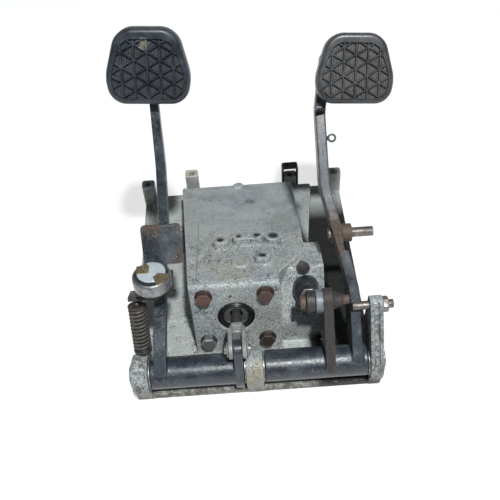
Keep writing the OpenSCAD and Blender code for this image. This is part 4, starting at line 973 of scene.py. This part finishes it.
# Domed boot on the sloping face, around the brake rod, with a mesh of its own
ROD_TURN = Matrix.Rotation(radians(-90 - ROD_SLOPE), 4, "X")
ROD_AT = Matrix.Translation(JOINTS["brake_rod_pin"]["pos_m"]) @ ROD_TURN
SLOPE_FACE = 40 * MM
DOME = [
    (13.0, 0), (13.0, 1.6), (12.2, 2.6), (12.7, 4.0), (12.9, 6.0), (12.4, 8.6), (11.4, 11.0), (9.8, 13.4),
    (7.8, 15.4), (6.8, 16.6), (7.6, 17.8), (7.6, 19.2), (6.4, 20.4), (6.4, 23.0), (4.95, 23.0), (4.95, 20.0),
    (5.8, 16.4), (8.2, 12.8), (9.9, 9.0), (10.4, 5.6), (9.4, 2.0), (9.0, 0),
]
boot = turned_piece("dome_boot", [(r, -rise) for r, rise in DOME], steps=40, levels=2)
boot.data.transform(ROD_AT @ Matrix.Translation((0, 0, SLOPE_FACE)))
dress(boot, BOOT, "brake_boot")
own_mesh(boot)

# Folded boot in the mouth of the clutch cylinder
CYLINDER_LEAN = -90 - FACE_LEAN
FOLDS = [
    (18, 2.0), (18, 0.5), (17.5, 0), (16.9, 0), (16.2, 1.5), (15.6, 1.5), (15.0, 0.1), (14.3, 0.1),
    (13.6, 1.6), (13.1, 1.6), (12.7, 0.5), (12.2, 0.5), (12, 1.0), (12, 2.0),
]
folded = turned_piece("folded_boot", FOLDS, steps=48, levels=1)
folded.data.transform(leaning_box("cylinder_boot", CYLINDER_LEAN)[0])
dress(folded, MOUTH_BOOT, "cylinder_boot")

# Helper spring between its seats
coil, _ = wound_spring("helper_coil", "helper_spring", SPRING_LEAN, wire=2.6 * MM, turns=11)
dress(coil, RUSTY_SPRING, "helper_spring")

# Return spring in the clutch cylinder, with a mesh of its own
coil, far_end = wound_spring("return_coil", "cylinder_spring", CYLINDER_LEAN, wire=2.0 * MM, turns=6)
dress(coil, PLATED, "cylinder_spring")
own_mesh(coil)


# Stage, light and camera

def floor_finish():
    """Pale floor that the camera and reflections see as white, and that keeps the shadow."""
    material, tree, inputs = finish("pale_floor", Roughness=0.85, Specular_IOR_Level=0.1,
                                    Emission_Color=(1, 1, 1, 1))
    cloud = mottle(tree, 3.0, 0.2, 0.8)
    feed(tree, inputs["Base Color"], mix(tree, cloud, (0.37, 0.37, 0.37), (0.39, 0.39, 0.39)))
    path = tree.nodes.new("ShaderNodeLightPath").outputs
    seen = calc(tree, "MAXIMUM", path["Is Camera Ray"], path["Is Glossy Ray"])
    seen = calc(tree, "MAXIMUM", seen, path["Is Transmission Ray"])
    feed(tree, inputs["Emission Strength"], times(tree, seen, FLOOR_GLOW))
    return material


def lamp(name, place, width, power, tint):
    """A round lamp that aims at the object."""
    data = bpy.data.lights.new(name, "AREA")
    data.shape = "DISK"
    data.size = width
    data.energy = power
    data.color = tint
    light = bpy.data.objects.new(name, data)
    bpy.context.scene.collection.objects.link(light)
    light.location = place
    light.rotation_euler = (Vector(LAMPS_AIM) - Vector(place)).to_track_quat("-Z", "Y").to_euler()


bpy.ops.object.select_all(action="DESELECT")
bpy.ops.mesh.primitive_plane_add(size=8, location=(0, 1, -0.3 * MM))
floor = bpy.context.object
floor.name = "pale_floor"
floor.data.materials.append(floor_finish())

for row in LAMPS:
    lamp(*row)
world = bpy.data.worlds.new("studio")
bpy.context.scene.world = world
world.use_nodes = True
back = world.node_tree.nodes["Background"]
back.inputs["Color"].default_value = WORLD_COLOUR
back.inputs["Strength"].default_value = WORLD_STRENGTH
bpy.context.scene.view_settings.view_transform = "Standard"

camera_data = bpy.data.cameras.new("camera")
camera_data.lens = CAMERA_LENS
camera_data.sensor_width = 36
camera = bpy.data.objects.new("camera", camera_data)
bpy.context.scene.collection.objects.link(camera)
camera.matrix_world = (Matrix.Translation(CAMERA_AT) @ Matrix.Rotation(radians(90 - CAMERA_DOWN), 4, "X")
                       @ Matrix.Rotation(radians(CAMERA_ROLL), 4, "Z"))
bpy.context.scene.camera = camera
